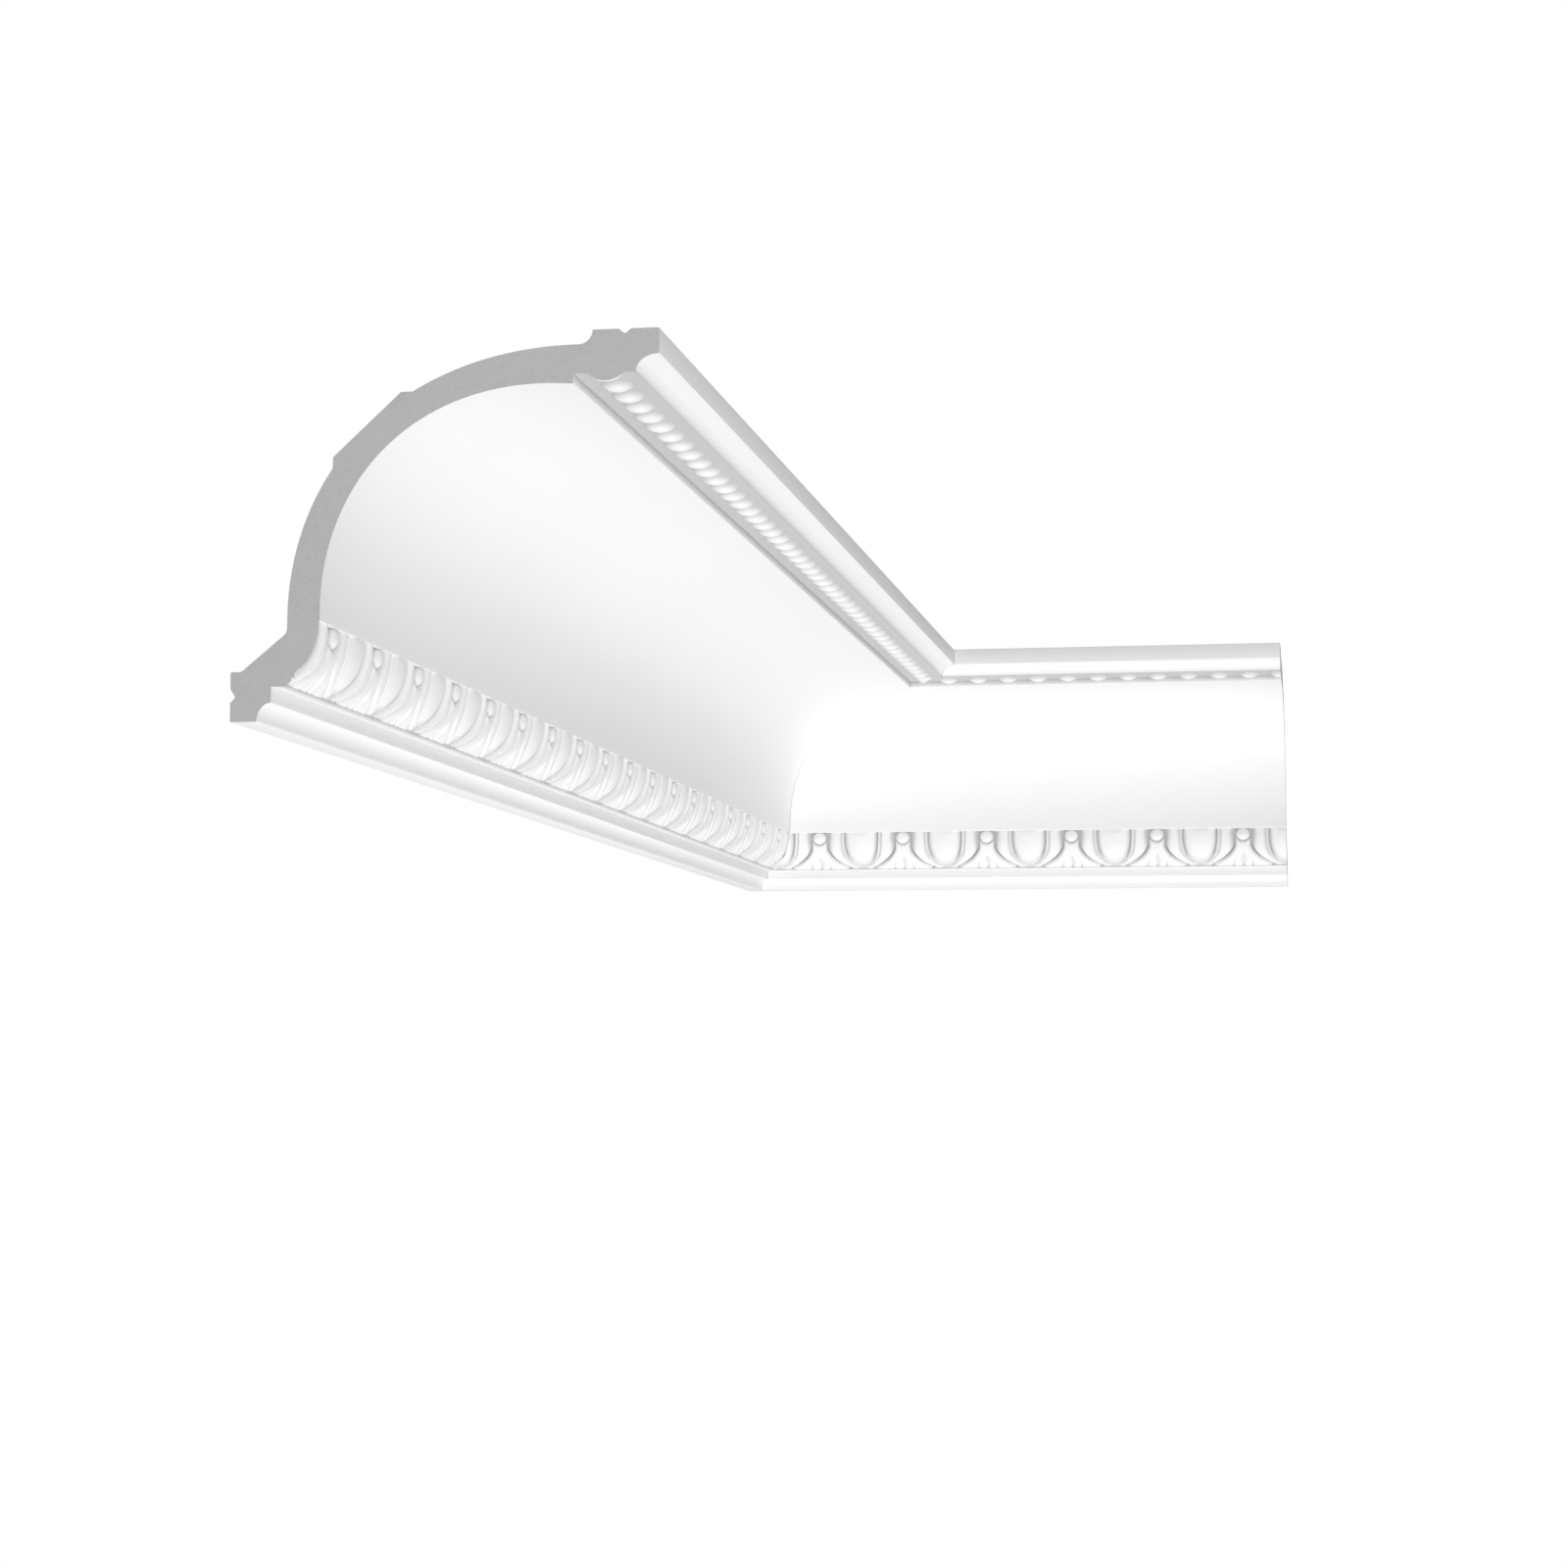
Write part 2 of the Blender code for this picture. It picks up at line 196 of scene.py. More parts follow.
def conic_point(start: Point, apex: Point, end: Point, fullness: float, share: float) -> Point:
    """One point of the conic arc that leaves start and reaches end along lines through apex.

    Args:
        start: First point of the arc.
        apex: Where the tangents at both ends meet.
        end: Last point of the arc.
        fullness: Weight of the apex; more draws the arc nearer to it.
        share: Share of the way along the arc.

    Returns:
        The point.
    """
    blend = ((1 - share) ** 2, 2 * fullness * share * (1 - share), share ** 2)
    total = sum(blend)
    return tuple(sum(w * p[k] for w, p in zip(blend, (start, apex, end))) / total for k in (0, 1))


def rounded_corner(before: Point, corner: Point, after: Point, radius: float,
                   steps: int = 3) -> list[Point]:
    """Points that round one corner of an outline, with a fillet no longer than half its sides.

    Args:
        before: The outline's point before the corner.
        corner: The corner.
        after: The outline's point after the corner.
        radius: Radius of the fillet.
        steps: Number of chords.

    Returns:
        The points that take the corner's place.
    """
    middle = Vector(corner)
    inwards, outwards = Vector(before) - middle, Vector(after) - middle
    half_angle = inwards.angle(outwards) / 2
    setback = min(radius / math.tan(half_angle), inwards.length / 2, outwards.length / 2)
    start = middle + inwards.normalized() * setback
    end = middle + outwards.normalized() * setback
    weight = math.sin(half_angle)
    return [conic_point(start, middle, end, weight, i / steps) for i in range(steps + 1)]


def set_painted_shade(mesh: bpy.types.Mesh, amounts: np.ndarray) -> None:
    """Stores on each vertex how much painted shade greys the primer there.

    Args:
        mesh: The mesh that gets the attribute.
        amounts: One number for each vertex, from nought to one.
    """
    layer = mesh.attributes.new(PAINTED_SHADE_ATTRIBUTE, "FLOAT", "POINT")
    layer.data.foreach_set("value", np.asarray(amounts, dtype=np.float32).ravel())


def repeat_centres(first: float, pitch: float, start: float, end: float) -> list[float]:
    """Centres a pitch apart, counted both ways from the first.

    Args:
        first: One of the centres.
        pitch: Distance between two centres.
        start: No centre lies before this.
        end: No centre lies beyond this.

    Returns:
        The centres in order.
    """
    lowest, highest = math.ceil((start - first) / pitch), math.floor((end - first) / pitch)
    return [first + pitch * i for i in range(lowest, highest + 1)]


@dataclass(frozen=True)
class Section:
    """The moulding's section: u is the distance from the wall, z the height from the ceiling."""

    height: float = 157.0
    projection: float = 178.0
    underside: float = 11.3
    lower_hollow: Point = (6.0, 7.7)
    lower_fillet: float = 6.5
    band_setback: float = 6.6
    band_width: float = 12.9
    band_height: float = 25.0
    band_foot: float = 1.6
    band_tuck: float = 5.9
    cove_lip: float = 0.7
    cove_lean: float = 3.5
    cove_rise: float = 11.0
    cove_fullness: float = 0.758
    cove_steps: int = 56
    fascia: float = 10.6
    upper_hollow: Point = (9.7, 7.2)
    outer_fillet: float = 5.1
    pearl_bed: float = 14.6
    inner_fillet: float = 6.2
    soffit_rise: float = 4.1
    heel_thickness: float = 13.8
    heel_above_cove_foot: float = 0.8
    heel_lean: float = 1.5
    heel_drop: float = 3.7
    wall_strip: float = 20.5
    wall_strip_shelf: float = 4.5
    ceiling_strip: float = 27.6
    ceiling_fillet: float = 5.8
    back_rise: float = 1.1
    back_fullness: float = 0.789
    back_steps: int = 40
    land_width: float = 38.5
    land_rise: float = 0.8
    land_shoulder: float = 1.5
    heel_radius: float = 5.0
    shelf_radius: float = 3.0
    wall_groove_up: float = 7.9
    wall_groove_width: float = 5.8
    wall_groove_apex: float = 0.38
    ceiling_groove_in: float = 11.6
    ceiling_groove_width: float = 5.2
    groove_depth: float = 2.2
    groove_radius: float = 1.0
    arris: float = 0.45
    lip_arris: float = 0.25
    hollow_steps: int = 14
    heel_steps: int = 6

    @property
    def fillet_u(self) -> float:
        """Distance of the lower fillet from the wall."""
        return self.underside + self.lower_hollow[0]

    @property
    def ledge_z(self) -> float:
        """Level of the ledge under the carved band."""
        return -self.height + self.lower_hollow[1] + self.lower_fillet

    @property
    def lip_z(self) -> float:
        """Level of the cove's lip over the carved band."""
        return self.ledge_z + self.band_foot + self.band_height

    @property
    def band_head_u(self) -> float:
        """Distance of the plain band's head from the wall."""
        return self.fillet_u + self.band_setback + self.band_width

    @property
    def soffit_z(self) -> float:
        """Level of the soffit that the pearls hang from."""
        return -self.fascia - self.upper_hollow[1]

    @property
    def soffit_out(self) -> float:
        """The soffit's outer edge."""
        return self.projection - self.upper_hollow[0]

    @property
    def soffit_in(self) -> float:
        """The soffit's inner edge, over the step to the cove."""
        return self.soffit_out - self.outer_fillet - self.pearl_bed - self.inner_fillet

    @property
    def pearl_u(self) -> float:
        """Distance of the pearls' centre line from the wall."""
        return self.soffit_out - self.outer_fillet - self.pearl_bed / 2

    def band(self, samples: int = 400) -> tuple[np.ndarray, np.ndarray, np.ndarray]:
        """The plain band under the carving.

        Args:
            samples: Number of chords that the curve is measured with.

        Returns:
            Distances down the curve, the point at each, and the outward normal at each.
        """
        radius_u = self.band_width + self.band_tuck
        end = math.acos(self.band_tuck / radius_u)
        radius_z = self.band_height / math.sin(end)
        angle = np.linspace(0.0, end, samples + 1)
        centre_u = self.band_head_u - radius_u
        out, up = centre_u + radius_u * np.cos(angle), self.lip_z - radius_z * np.sin(angle)
        points = np.stack([out, up], 1)
        steps = np.hypot(*np.diff(points, axis=0).T)
        normals = np.stack([np.cos(angle) / radius_u, -np.sin(angle) / radius_z], 1)
        normals /= np.hypot(*normals.T)[:, None]
        return np.concatenate([[0.0], np.cumsum(steps)]), points, normals

    def cove(self) -> list[Point]:
        """The cove's face, with its lip and its head eased.

        Returns:
            The points from the lip up to the step.
        """
        foot = (self.band_head_u + self.cove_lip, self.lip_z)
        head = (self.soffit_in, self.soffit_z - self.soffit_rise)
        apex = (foot[0] - self.cove_lean, head[1] + self.cove_rise)
        steps = self.cove_steps
        face = [conic_point(foot, apex, head, self.cove_fullness, i / steps) for i in range(steps + 1)]
        lip = rounded_corner((foot[0] - HELPER_LINE, foot[1]), foot, face[1], self.lip_arris)
        top = rounded_corner(face[-2], head, (head[0], self.soffit_z), self.arris)
        return lip + face[1:-1] + top

    def head(self) -> list[Point]:
        """The upper hollow and the fascia.

        Returns:
            The points from the soffit's outer edge up to the ceiling.
        """
        centre = (self.projection, self.soffit_z)
        hollow = ellipse_arc(centre, self.upper_hollow, 180.0, 90.0, self.hollow_steps)
        corner = (self.projection, -self.fascia)
        ceiling = (self.projection, 0.0)
        points = hollow[1:-1] + rounded_corner(hollow[-2], corner, ceiling, self.arris)
        inwards = (self.projection - HELPER_LINE, 0.0)
        return points + rounded_corner(corner, ceiling, inwards, self.arris)

    def groove(self, mouth: Point, far_mouth: Point, deepest: Point) -> list[Point]:
        """A rounded V groove for glue, between two points of a flat strip."""
        return [mouth] + rounded_corner(mouth, deepest, far_mouth, self.groove_radius) + [far_mouth]

    def back_of_cove(self) -> list[Point]:
        """The open back, with its raised flat land.

        Returns:
            The points from the ceiling strip's fillet down to the heel.
        """
        heel_u = self.band_head_u + self.cove_lip - self.heel_thickness
        heel = (heel_u, self.lip_z - self.heel_above_cove_foot)
        head = (self.projection - self.ceiling_strip - self.ceiling_fillet, -self.ceiling_fillet)
        apex = (heel[0] - self.heel_lean, head[1] + self.back_rise)
        middle = Vector(conic_point(head, apex, heel, self.back_fullness, 0.5))
        tangent = (Vector(heel) - Vector(head)).normalized()
        outwards = Vector((tangent[1], -tangent[0]))
        if outwards.dot(Vector(apex) - middle) < 0:
            outwards.negate()
        half, steps = self.land_width / 2, self.back_steps
        curve = [conic_point(head, apex, heel, self.back_fullness, i / steps) for i in range(steps + 1)]
        along = [(Vector(point) - middle).dot(tangent) for point in curve]
        before = [p for p, a in zip(curve, along) if a < -half - self.land_shoulder]
        after = [p for p, a in zip(curve, along) if a > half + self.land_shoulder]
        land = [tuple(middle + outwards * self.land_rise + tangent * half * side) for side in (-1, 1)]
        first = rounded_corner(before[-1], land[0], land[1], self.land_rise)
        last = rounded_corner(land[0], land[1], after[0], self.land_rise)
        return before + first + last + after

    def back(self) -> list[Point]:
        """The hidden faces, and the lower hollow with its fillet.

        Returns:
            The points from the ceiling strip down the back and the wall strip, then up to the ledge.
        """
        strip_in = self.projection - self.ceiling_strip
        groove_out = self.projection - self.ceiling_groove_in
        groove_in = groove_out - self.ceiling_groove_width
        deepest = ((groove_out + groove_in) / 2, -self.groove_depth)
        points = self.groove((groove_out, 0.0), (groove_in, 0.0), deepest)
        radii = (self.ceiling_fillet, self.ceiling_fillet)
        centre = (strip_in - self.ceiling_fillet, 0.0)
        points += ellipse_arc(centre, radii, 0.0, -90.0, self.hollow_steps)[:-1]
        points += self.back_of_cove()
        heel_u, heel_z = points[-1]
        turn = (heel_u, heel_z - self.heel_drop)
        shelf = (self.wall_strip_shelf, -self.height + self.wall_strip)
        points += rounded_corner((heel_u, heel_z), turn, shelf, self.heel_radius, self.heel_steps)
        points += rounded_corner(turn, shelf, (0.0, shelf[1]), self.shelf_radius, self.heel_steps)
        points += rounded_corner(shelf, (0.0, shelf[1]), (0.0, -self.height), self.arris)
        low = -self.height + self.wall_groove_up
        high = low + self.wall_groove_width
        apex = (self.groove_depth, low + self.wall_groove_width * self.wall_groove_apex)
        points += self.groove((0.0, high), (0.0, low), apex)
        foot = (0.0, -self.height)
        edge = (self.underside, -self.height)
        centre = (self.fillet_u, -self.height)
        hollow = ellipse_arc(centre, self.lower_hollow, 180.0, 90.0, self.hollow_steps)
        points += rounded_corner((0.0, low), foot, edge, self.arris)
        points += rounded_corner(foot, edge, hollow[1], self.arris)
        points += hollow[2:-1]
        points += rounded_corner(hollow[-2], hollow[-1], (self.fillet_u, self.ledge_z), self.arris)
        points.append((self.fillet_u, self.ledge_z))
        return points


@dataclass(frozen=True)
class EggAndDart:
    """One repeat of the carving, centred on a bead: x runs along the band, down from its lip.

    A field that ends in down is a distance down the band, or the two between which a change
    happens, and one that ends in run is the distance that a change takes.
    """

    section: Section
    pitch: float = 62.44
    rows: int = 52
    egg_head: float = -20.0
    egg_half_width: float = 12.25
    egg_length: float = 28.4
    egg_roundness: float = 2.6
    egg_crown: float = 1.2
    egg_fullness: float = 4.8
    rim: tuple[Point, ...] = ((0.0, -2.6), (1.4, 0.35), (2.75, -1.6), (4.2, 0.45))
    rim_squeeze: float = 1.1
    rim_squeeze_down: Point = (16.0, 27.0)
    valley: float = -3.1
    valley_rise: float = 0.8
    valley_rise_down: Point = (21.0, 29.5)
    valley_start: float = 5.75
    flare_foot: float = 5.3
    flare_rate: float = 0.043
    flare_power: float = 1.96
    flare_down: float = 9.0
    husk_rolls: tuple[Point, ...] = ((2.0, 7.2), (10.0, 5.4), (18.0, 2.7), (28.0, 3.4))
    husk_roll_share: float = 0.85
    husk_power: float = 0.8
    least_room: float = 0.5
    bead_radius: float = 5.8
    bead_down: float = 4.3
    bead_crown: float = 0.95
    bead_crease: float = 1.0
    leaf_down: float = 6.0
    leaf_neck: float = 0.1
    leaf_crown: float = 0.55
    leaf_crown_run: float = 8.0
    leaf_start_run: float = 1.5
    leaf_start_reach: float = 0.8
    leaf_start_round: float = 1.8
    leaf_roll: float = 2.6
    leaf_roll_share: float = 0.45
    leaf_roll_power: float = 0.65
    leaf_flick: float = 0.5
    leaf_flick_down: float = 24.0
    leaf_flick_run: float = 5.7
    vein_down: float = 17.5
    vein_widest_down: float = 24.0
    vein_half_width: float = 2.5
    vein_end_half_width: float = 1.0
    vein_run: float = 3.0
    vein_closing_run: float = 6.0
    vein_depth: float = 2.1
    slot_down: float = 23.0
    slot_across: float = 6.3
    slot_inner: float = 6.1
    slot_outer: float = 8.0
    slot_depth: Point = (1.1, 1.6)
    slot_wall: float = 0.55
    lobe_swell: float = 0.35
    lobe_run: float = 5.0
    side_lobe_share: float = 0.8
    least_lobe: float = 0.1
    least_vein: float = 0.05
    # Painted shade in the carving: none above the first relief, the most at the second, and how strong it
    # is.
    unshaded_relief: float = -0.3
    darkest_shade_relief: float = -2.6
    painted_shade_strength: float = 0.9
    # Painted shade on the ledge at the carving's foot.
    ledge_painted_shade: float = 0.8
    lip_margin: float = 0.05
    lip_clearance_run: float = 3.0
    least_gap: float = 0.14
    columns: tuple[int, ...] = (3, 3, 2, 4, 4, 6, 3, 3, 3, 3, 8)
    column_samples: int = 1601
    column_down: float = 18.0
    vein_column: float = 0.22
    slot_columns: Point = (0.477, 0.6)
    least_slot: float = 0.3

    def egg_outline(self, points: int = 120) -> np.ndarray:
        """The egg's outline, with straight sides past the lip.

        Args:
            points: Number of chords.

        Returns:
            The points (x from the bead's centre line, distance down).
        """
        turn = np.linspace(0.0, math.pi, points + 1)
        across = -self.egg_half_width * np.cos(turn)
        down = self.egg_length * np.sin(turn) ** (2 / self.egg_roundness)
        middle = np.stack([self.pitch / 2 + across, down], 1)
        before = np.array([[self.pitch / 2 - self.egg_half_width, self.egg_head]])
        beyond = np.array([[self.pitch / 2 + self.egg_half_width, self.egg_head]])
        return np.concatenate([before, middle, beyond])

    def outside_egg(self, x: np.ndarray, down: np.ndarray) -> np.ndarray:
        """Distance outside the egg's outline, negative inside it.

        Args:
            x: Distances from the bead's centre line.
            down: Distances down the band.

        Returns:
            The signed distances.
        """
        outline = self.egg_outline()
        start, run = outline[:-1], np.diff(outline, axis=0)
        offset = np.stack([x, down], -1)[..., None, :] - start
        share = np.clip((offset * run).sum(-1) / (run * run).sum(-1), 0.0, 1.0)
        nearest = np.hypot(*np.moveaxis(offset - share[..., None] * run, -1, 0)).min(-1)
        reach = ((x - self.pitch / 2) / self.egg_half_width) ** 2
        reach = reach + np.clip(down / self.egg_length, 0.0, None) ** self.egg_roundness
        return np.where(reach < 1.0, -nearest, nearest)

    def squeeze(self, down: np.ndarray) -> np.ndarray:
        """How many times narrower the rims are than at the lip, where they close under the egg."""
        start, end = self.rim_squeeze_down
        return 1.0 + self.rim_squeeze * smooth((down - start) / (end - start))

    def floor(self, down: np.ndarray) -> np.ndarray:
        """Relief of the valleys' floor, which rises towards the ledge."""
        start, end = self.valley_rise_down
        return self.valley + self.valley_rise * smooth((down - start) / (end - start))

    def valley_line(self, down: np.ndarray) -> np.ndarray:
        """Half width of the dart, out to the valley beside its bead and its leaf."""
        below = np.clip(down - self.flare_down, 0.0, None)
        return np.maximum(self.valley_start, self.flare_foot + self.flare_rate * below ** self.flare_power)

    def roll_width(self, down: np.ndarray) -> np.ndarray:
        """Width over which the husk rolls down to the valley."""
        return eased(down, list(self.husk_rolls))

    def vein_edge(self, down: np.ndarray) -> np.ndarray:
        """Half width of the leaf's central vein.

        Args:
            down: Distances down the band.

        Returns:
            The half widths, nought above the vein.
        """
        opening = smooth((down - self.vein_down) / (self.vein_widest_down - self.vein_down))
        closing = np.clip((down - self.vein_widest_down) / self.vein_closing_run, 0.0, 1.0)
        return self.vein_half_width * opening + (self.vein_end_half_width - self.vein_half_width) * closing

    def below_slot(self, down: np.ndarray) -> np.ndarray:
        """Share of the way from the head of the leaf's slots to the ledge."""
        return np.clip((down - self.slot_down) / (self.length - self.slot_down), 0.0, 1.0)

    def slot_edges(self, down: np.ndarray) -> tuple[np.ndarray, np.ndarray]:
        """Edges of the slot between the leaf's middle and its side lobe.

        Args:
            down: Distances down the band.

        Returns:
            The inner and the outer edge's distances from the bead's centre line.
        """
        share = self.below_slot(down)
        inner = self.slot_across + (self.slot_inner - self.slot_across) * share
        outer = self.slot_across + (self.slot_outer - self.slot_across) * share
        return inner, outer

    @property
    def length(self) -> float:
        """Length of the band's curve from the lip to its foot."""
        return float(self.section.band()[0][-1])

    def leaf(self, x: np.ndarray, down: np.ndarray) -> np.ndarray:
        """Relief of the leaf under the bead, before the bead is laid over it.

        Args:
            x: Distances from the bead's centre line.
            down: Distances down the band.

        Returns:
            The heights over the plain band.
        """
        edge = self.valley_line(down)
        roll = np.minimum(self.leaf_roll, self.leaf_roll_share * edge)
        rise = np.clip((edge - x) / roll, 0.0, 1.0)
        grown = smooth((down - self.leaf_down) / self.leaf_crown_run)
        crown = self.leaf_neck + (self.leaf_crown - self.leaf_neck) * grown
        flicked = np.clip((down - self.leaf_flick_down) / self.leaf_flick_run, 0.0, 1.0)
        crown = crown + self.leaf_flick * flicked ** 2
        vein = self.vein_edge(down)
        inner, outer = self.slot_edges(down)
        middle_share = np.clip((x - vein) / np.maximum(inner - vein, self.least_lobe), 0.0, 1.0)
        side_share = np.clip((x - outer) / np.maximum(edge - outer, self.least_lobe), 0.0, 1.0)
        swell = np.sin(math.pi * middle_share) + self.side_lobe_share * np.sin(math.pi * side_share)
        crown = crown + self.lobe_swell * smooth((down - self.vein_down) / self.lobe_run) * swell
        opened = smooth((down - self.vein_down) / self.vein_run)
        in_vein = np.clip(1 - x / np.maximum(vein, self.least_vein), 0, 1)
        crown = crown - self.vein_depth * opened * in_vein
        share = self.below_slot(down)
        depth = self.slot_depth[0] + (self.slot_depth[1] - self.slot_depth[0]) * share
        inside = np.minimum(x - inner, outer - x)
        crown = crown - np.where(share > 0, depth * smooth(inside / self.slot_wall), 0.0)
        floor = self.floor(down)
        from_bead = np.hypot(x, down - self.bead_down) - self.leaf_start_reach * self.bead_radius
        start = smooth((down - self.leaf_down) / self.leaf_start_run)
        start = start * smooth(from_bead / self.leaf_start_round)
        return floor + (crown - floor) * start * (1 - (1 - rise) ** 2) ** self.leaf_roll_power

    def bead(self, x: np.ndarray, down: np.ndarray) -> np.ndarray:
        """Relief of the bead at the dart's head.

        Args:
            x: Distances from the bead's centre line.
            down: Distances down the band.

        Returns:
            The heights over the plain band, far below it beside the bead.
        """
        beyond = x ** 2 + (down - self.bead_down) ** 2
        dome = np.sqrt(np.clip(self.bead_radius ** 2 - beyond, 0.0, None))
        return self.bead_crown - self.bead_radius + dome

    def husk(self, x: np.ndarray, down: np.ndarray, outside: np.ndarray) -> np.ndarray:
        """Relief of the husk between the dart's valley and the rims round the egg.

        Args:
            x: Distances from the bead's centre line.
            down: Distances down the band.
            outside: Distances outside the egg's outline.

        Returns:
            The heights over the plain band.
        """
        edge, floor = self.valley_line(down), self.floor(down)
        to_rim = x - edge + outside - self.rim[-1][0] / self.squeeze(down)
        room = self.husk_roll_share * np.maximum(to_rim, self.least_room)
        rise = np.clip((x - edge) / np.minimum(self.roll_width(down), room), 0.0, 1.0)
        return floor + (self.rim[-1][1] - floor) * smooth(rise) ** self.husk_power

    def egg(self, x: np.ndarray, down: np.ndarray) -> np.ndarray:
        """Relief of the egg: a full oval that falls to the groove round it.

        Args:
            x: Distances from the bead's centre line.
            down: Distances down the band.

        Returns:
            The heights over the plain band.
        """
        reach = ((x - self.pitch / 2) / self.egg_half_width) ** 2
        reach = reach + np.clip(down / self.egg_length, 0.0, 1.0) ** self.egg_roundness
        oval = self.egg_crown - self.egg_fullness * (1 - np.sqrt(np.clip(1 - reach, 0.0, 1.0)))
        return np.maximum(oval, self.rim[0][1] / self.squeeze(down))

    def relief(self, x: np.ndarray, down: np.ndarray) -> np.ndarray:
        """Height of the carving over the plain band.

        Args:
            x: Distances from the bead's centre line, up to half the pitch.
            down: Distances down the band.

        Returns:
            The heights, never over the lip where the carving meets it.
        """
        outside = self.outside_egg(x, down)
        squeeze = self.squeeze(down)
        rims = eased(outside * squeeze, list(self.rim))
        rims = np.where(rims < 0, rims / squeeze, rims)
        dart = blended_max(self.leaf(x, down), self.bead(x, down), self.bead_crease)
        dart = np.maximum(dart, self.floor(down))
        height = np.where(outside * squeeze < self.rim[-1][0], rims, self.husk(x, down, outside))
        height = np.where(x < self.valley_line(down), dart, height)
        height = np.where(outside < 0.0, self.egg(x, down), height)
        most = self.section.cove_lip - self.section.lip_arris - self.lip_margin
        most = most + self.egg_crown * (1 - np.exp(-down / self.lip_clearance_run))
        return np.minimum(height, most)

    def row_columns(self, down: float) -> np.ndarray:
        """Columns of one row of the sheet, drawn along the carved edges.

        Args:
            down: Distance of the row down the band.

        Returns:
            Distances from a bead's centre line, up to an egg's.
        """
        half = self.pitch / 2
        level = np.array([down])
        edge = float(self.valley_line(level)[0])
        inner, outer = (float(v[0]) for v in self.slot_edges(level))
        opened = float(smooth((down - self.vein_down) / self.vein_run))
        vein = self.vein_column * edge
        vein = vein + (float(self.vein_edge(level)[0]) - vein) * opened
        plain_in, plain_out = (share * edge for share in self.slot_columns)
        ready = float(smooth((down - self.column_down) / self.lobe_run))
        slot_in = plain_in if down < self.slot_down else inner
        slot_out = plain_out + (max(outer, slot_in + self.least_slot) - plain_out) * ready
        shoulder = edge - min(self.leaf_roll, self.leaf_roll_share * edge)
        across = np.linspace(0.0, half, self.column_samples)
        outside = self.outside_egg(across, np.full_like(across, down)) * float(self.squeeze(level)[0])
        offsets = [float(np.interp(-reach, -outside, across)) for reach, _ in reversed(self.rim)]
        room = self.husk_roll_share * max(offsets[0] - edge, self.least_slot)
        crest = edge + min(float(self.roll_width(level)[0]), room)
        lines = [0.0, vein, slot_in, slot_out, shoulder, edge, crest, *offsets, half]
        for index in range(1, len(lines)):
            lines[index] = max(lines[index], lines[index - 1] + self.least_gap * self.columns[index - 1])
        for index in range(len(lines) - 2, 0, -1):
            room = self.least_gap * self.columns[index]
            lines[index] = min(lines[index], (half if index == len(lines) - 2 else lines[index + 1]) - room)
        lines[-1] = half
        spread = [np.linspace(a, b, n, endpoint=False) for a, b, n in zip(lines, lines[1:], self.columns)]
        return np.concatenate([*spread, [half]])

    def build(self) -> bpy.types.Object:
        """Makes the carved repeat.

        Returns:
            An open sheet from the lip down to the ledge.
        """
        table, points, normals = self.section.band()
        downs = np.linspace(0.0, table[-1], self.rows + 1)
        half = np.stack([self.row_columns(float(down)) for down in downs])
        levels = np.repeat(downs[:, None], half.shape[1], 1)
        relief = self.relief(half, levels)
        along = np.concatenate([-half[:, :0:-1], half], 1)
        relief = np.concatenate([relief[:, :0:-1], relief], 1)
        # Painted shade: the deeper a point lies in the relief, the greyer its primer, as shade in the
        # grooves and hollows.
        shade_share = (self.unshaded_relief - relief) / (self.unshaded_relief - self.darkest_shade_relief)
        shaded = self.painted_shade_strength * smooth(shade_share)
        u, z, nu, nz = (np.interp(downs, table, source[:, k])[:, None]
                        for source in (points, normals) for k in (0, 1))
        out, up = u + nu * relief, z + nz * relief
        foot = (along[-1:], out[-1:], np.full_like(out[-1:], self.section.ledge_z))
        grid = np.stack([np.concatenate([g, f]) for g, f in zip((along, out, up), foot)], -1)
        count, width = grid.shape[:2]
        index = np.arange(count * width).reshape(count, width)
        faces = np.stack([index[:-1, :-1], index[:-1, 1:], index[1:, 1:], index[1:, :-1]], -1).reshape(-1, 4)
        data = bpy.data.meshes.new("egg_and_dart_repeat")
        data.from_pydata((grid.reshape(-1, 3) * METRES).tolist(), [], faces.tolist())
        # Painted shade: the foot row on the ledge is greyed, fading across the ledge to the fillet.
        set_painted_shade(data, np.concatenate([shaded, np.full_like(shaded[-1:], self.ledge_painted_shade)]))
        return add_object("egg_and_dart_repeat", data)


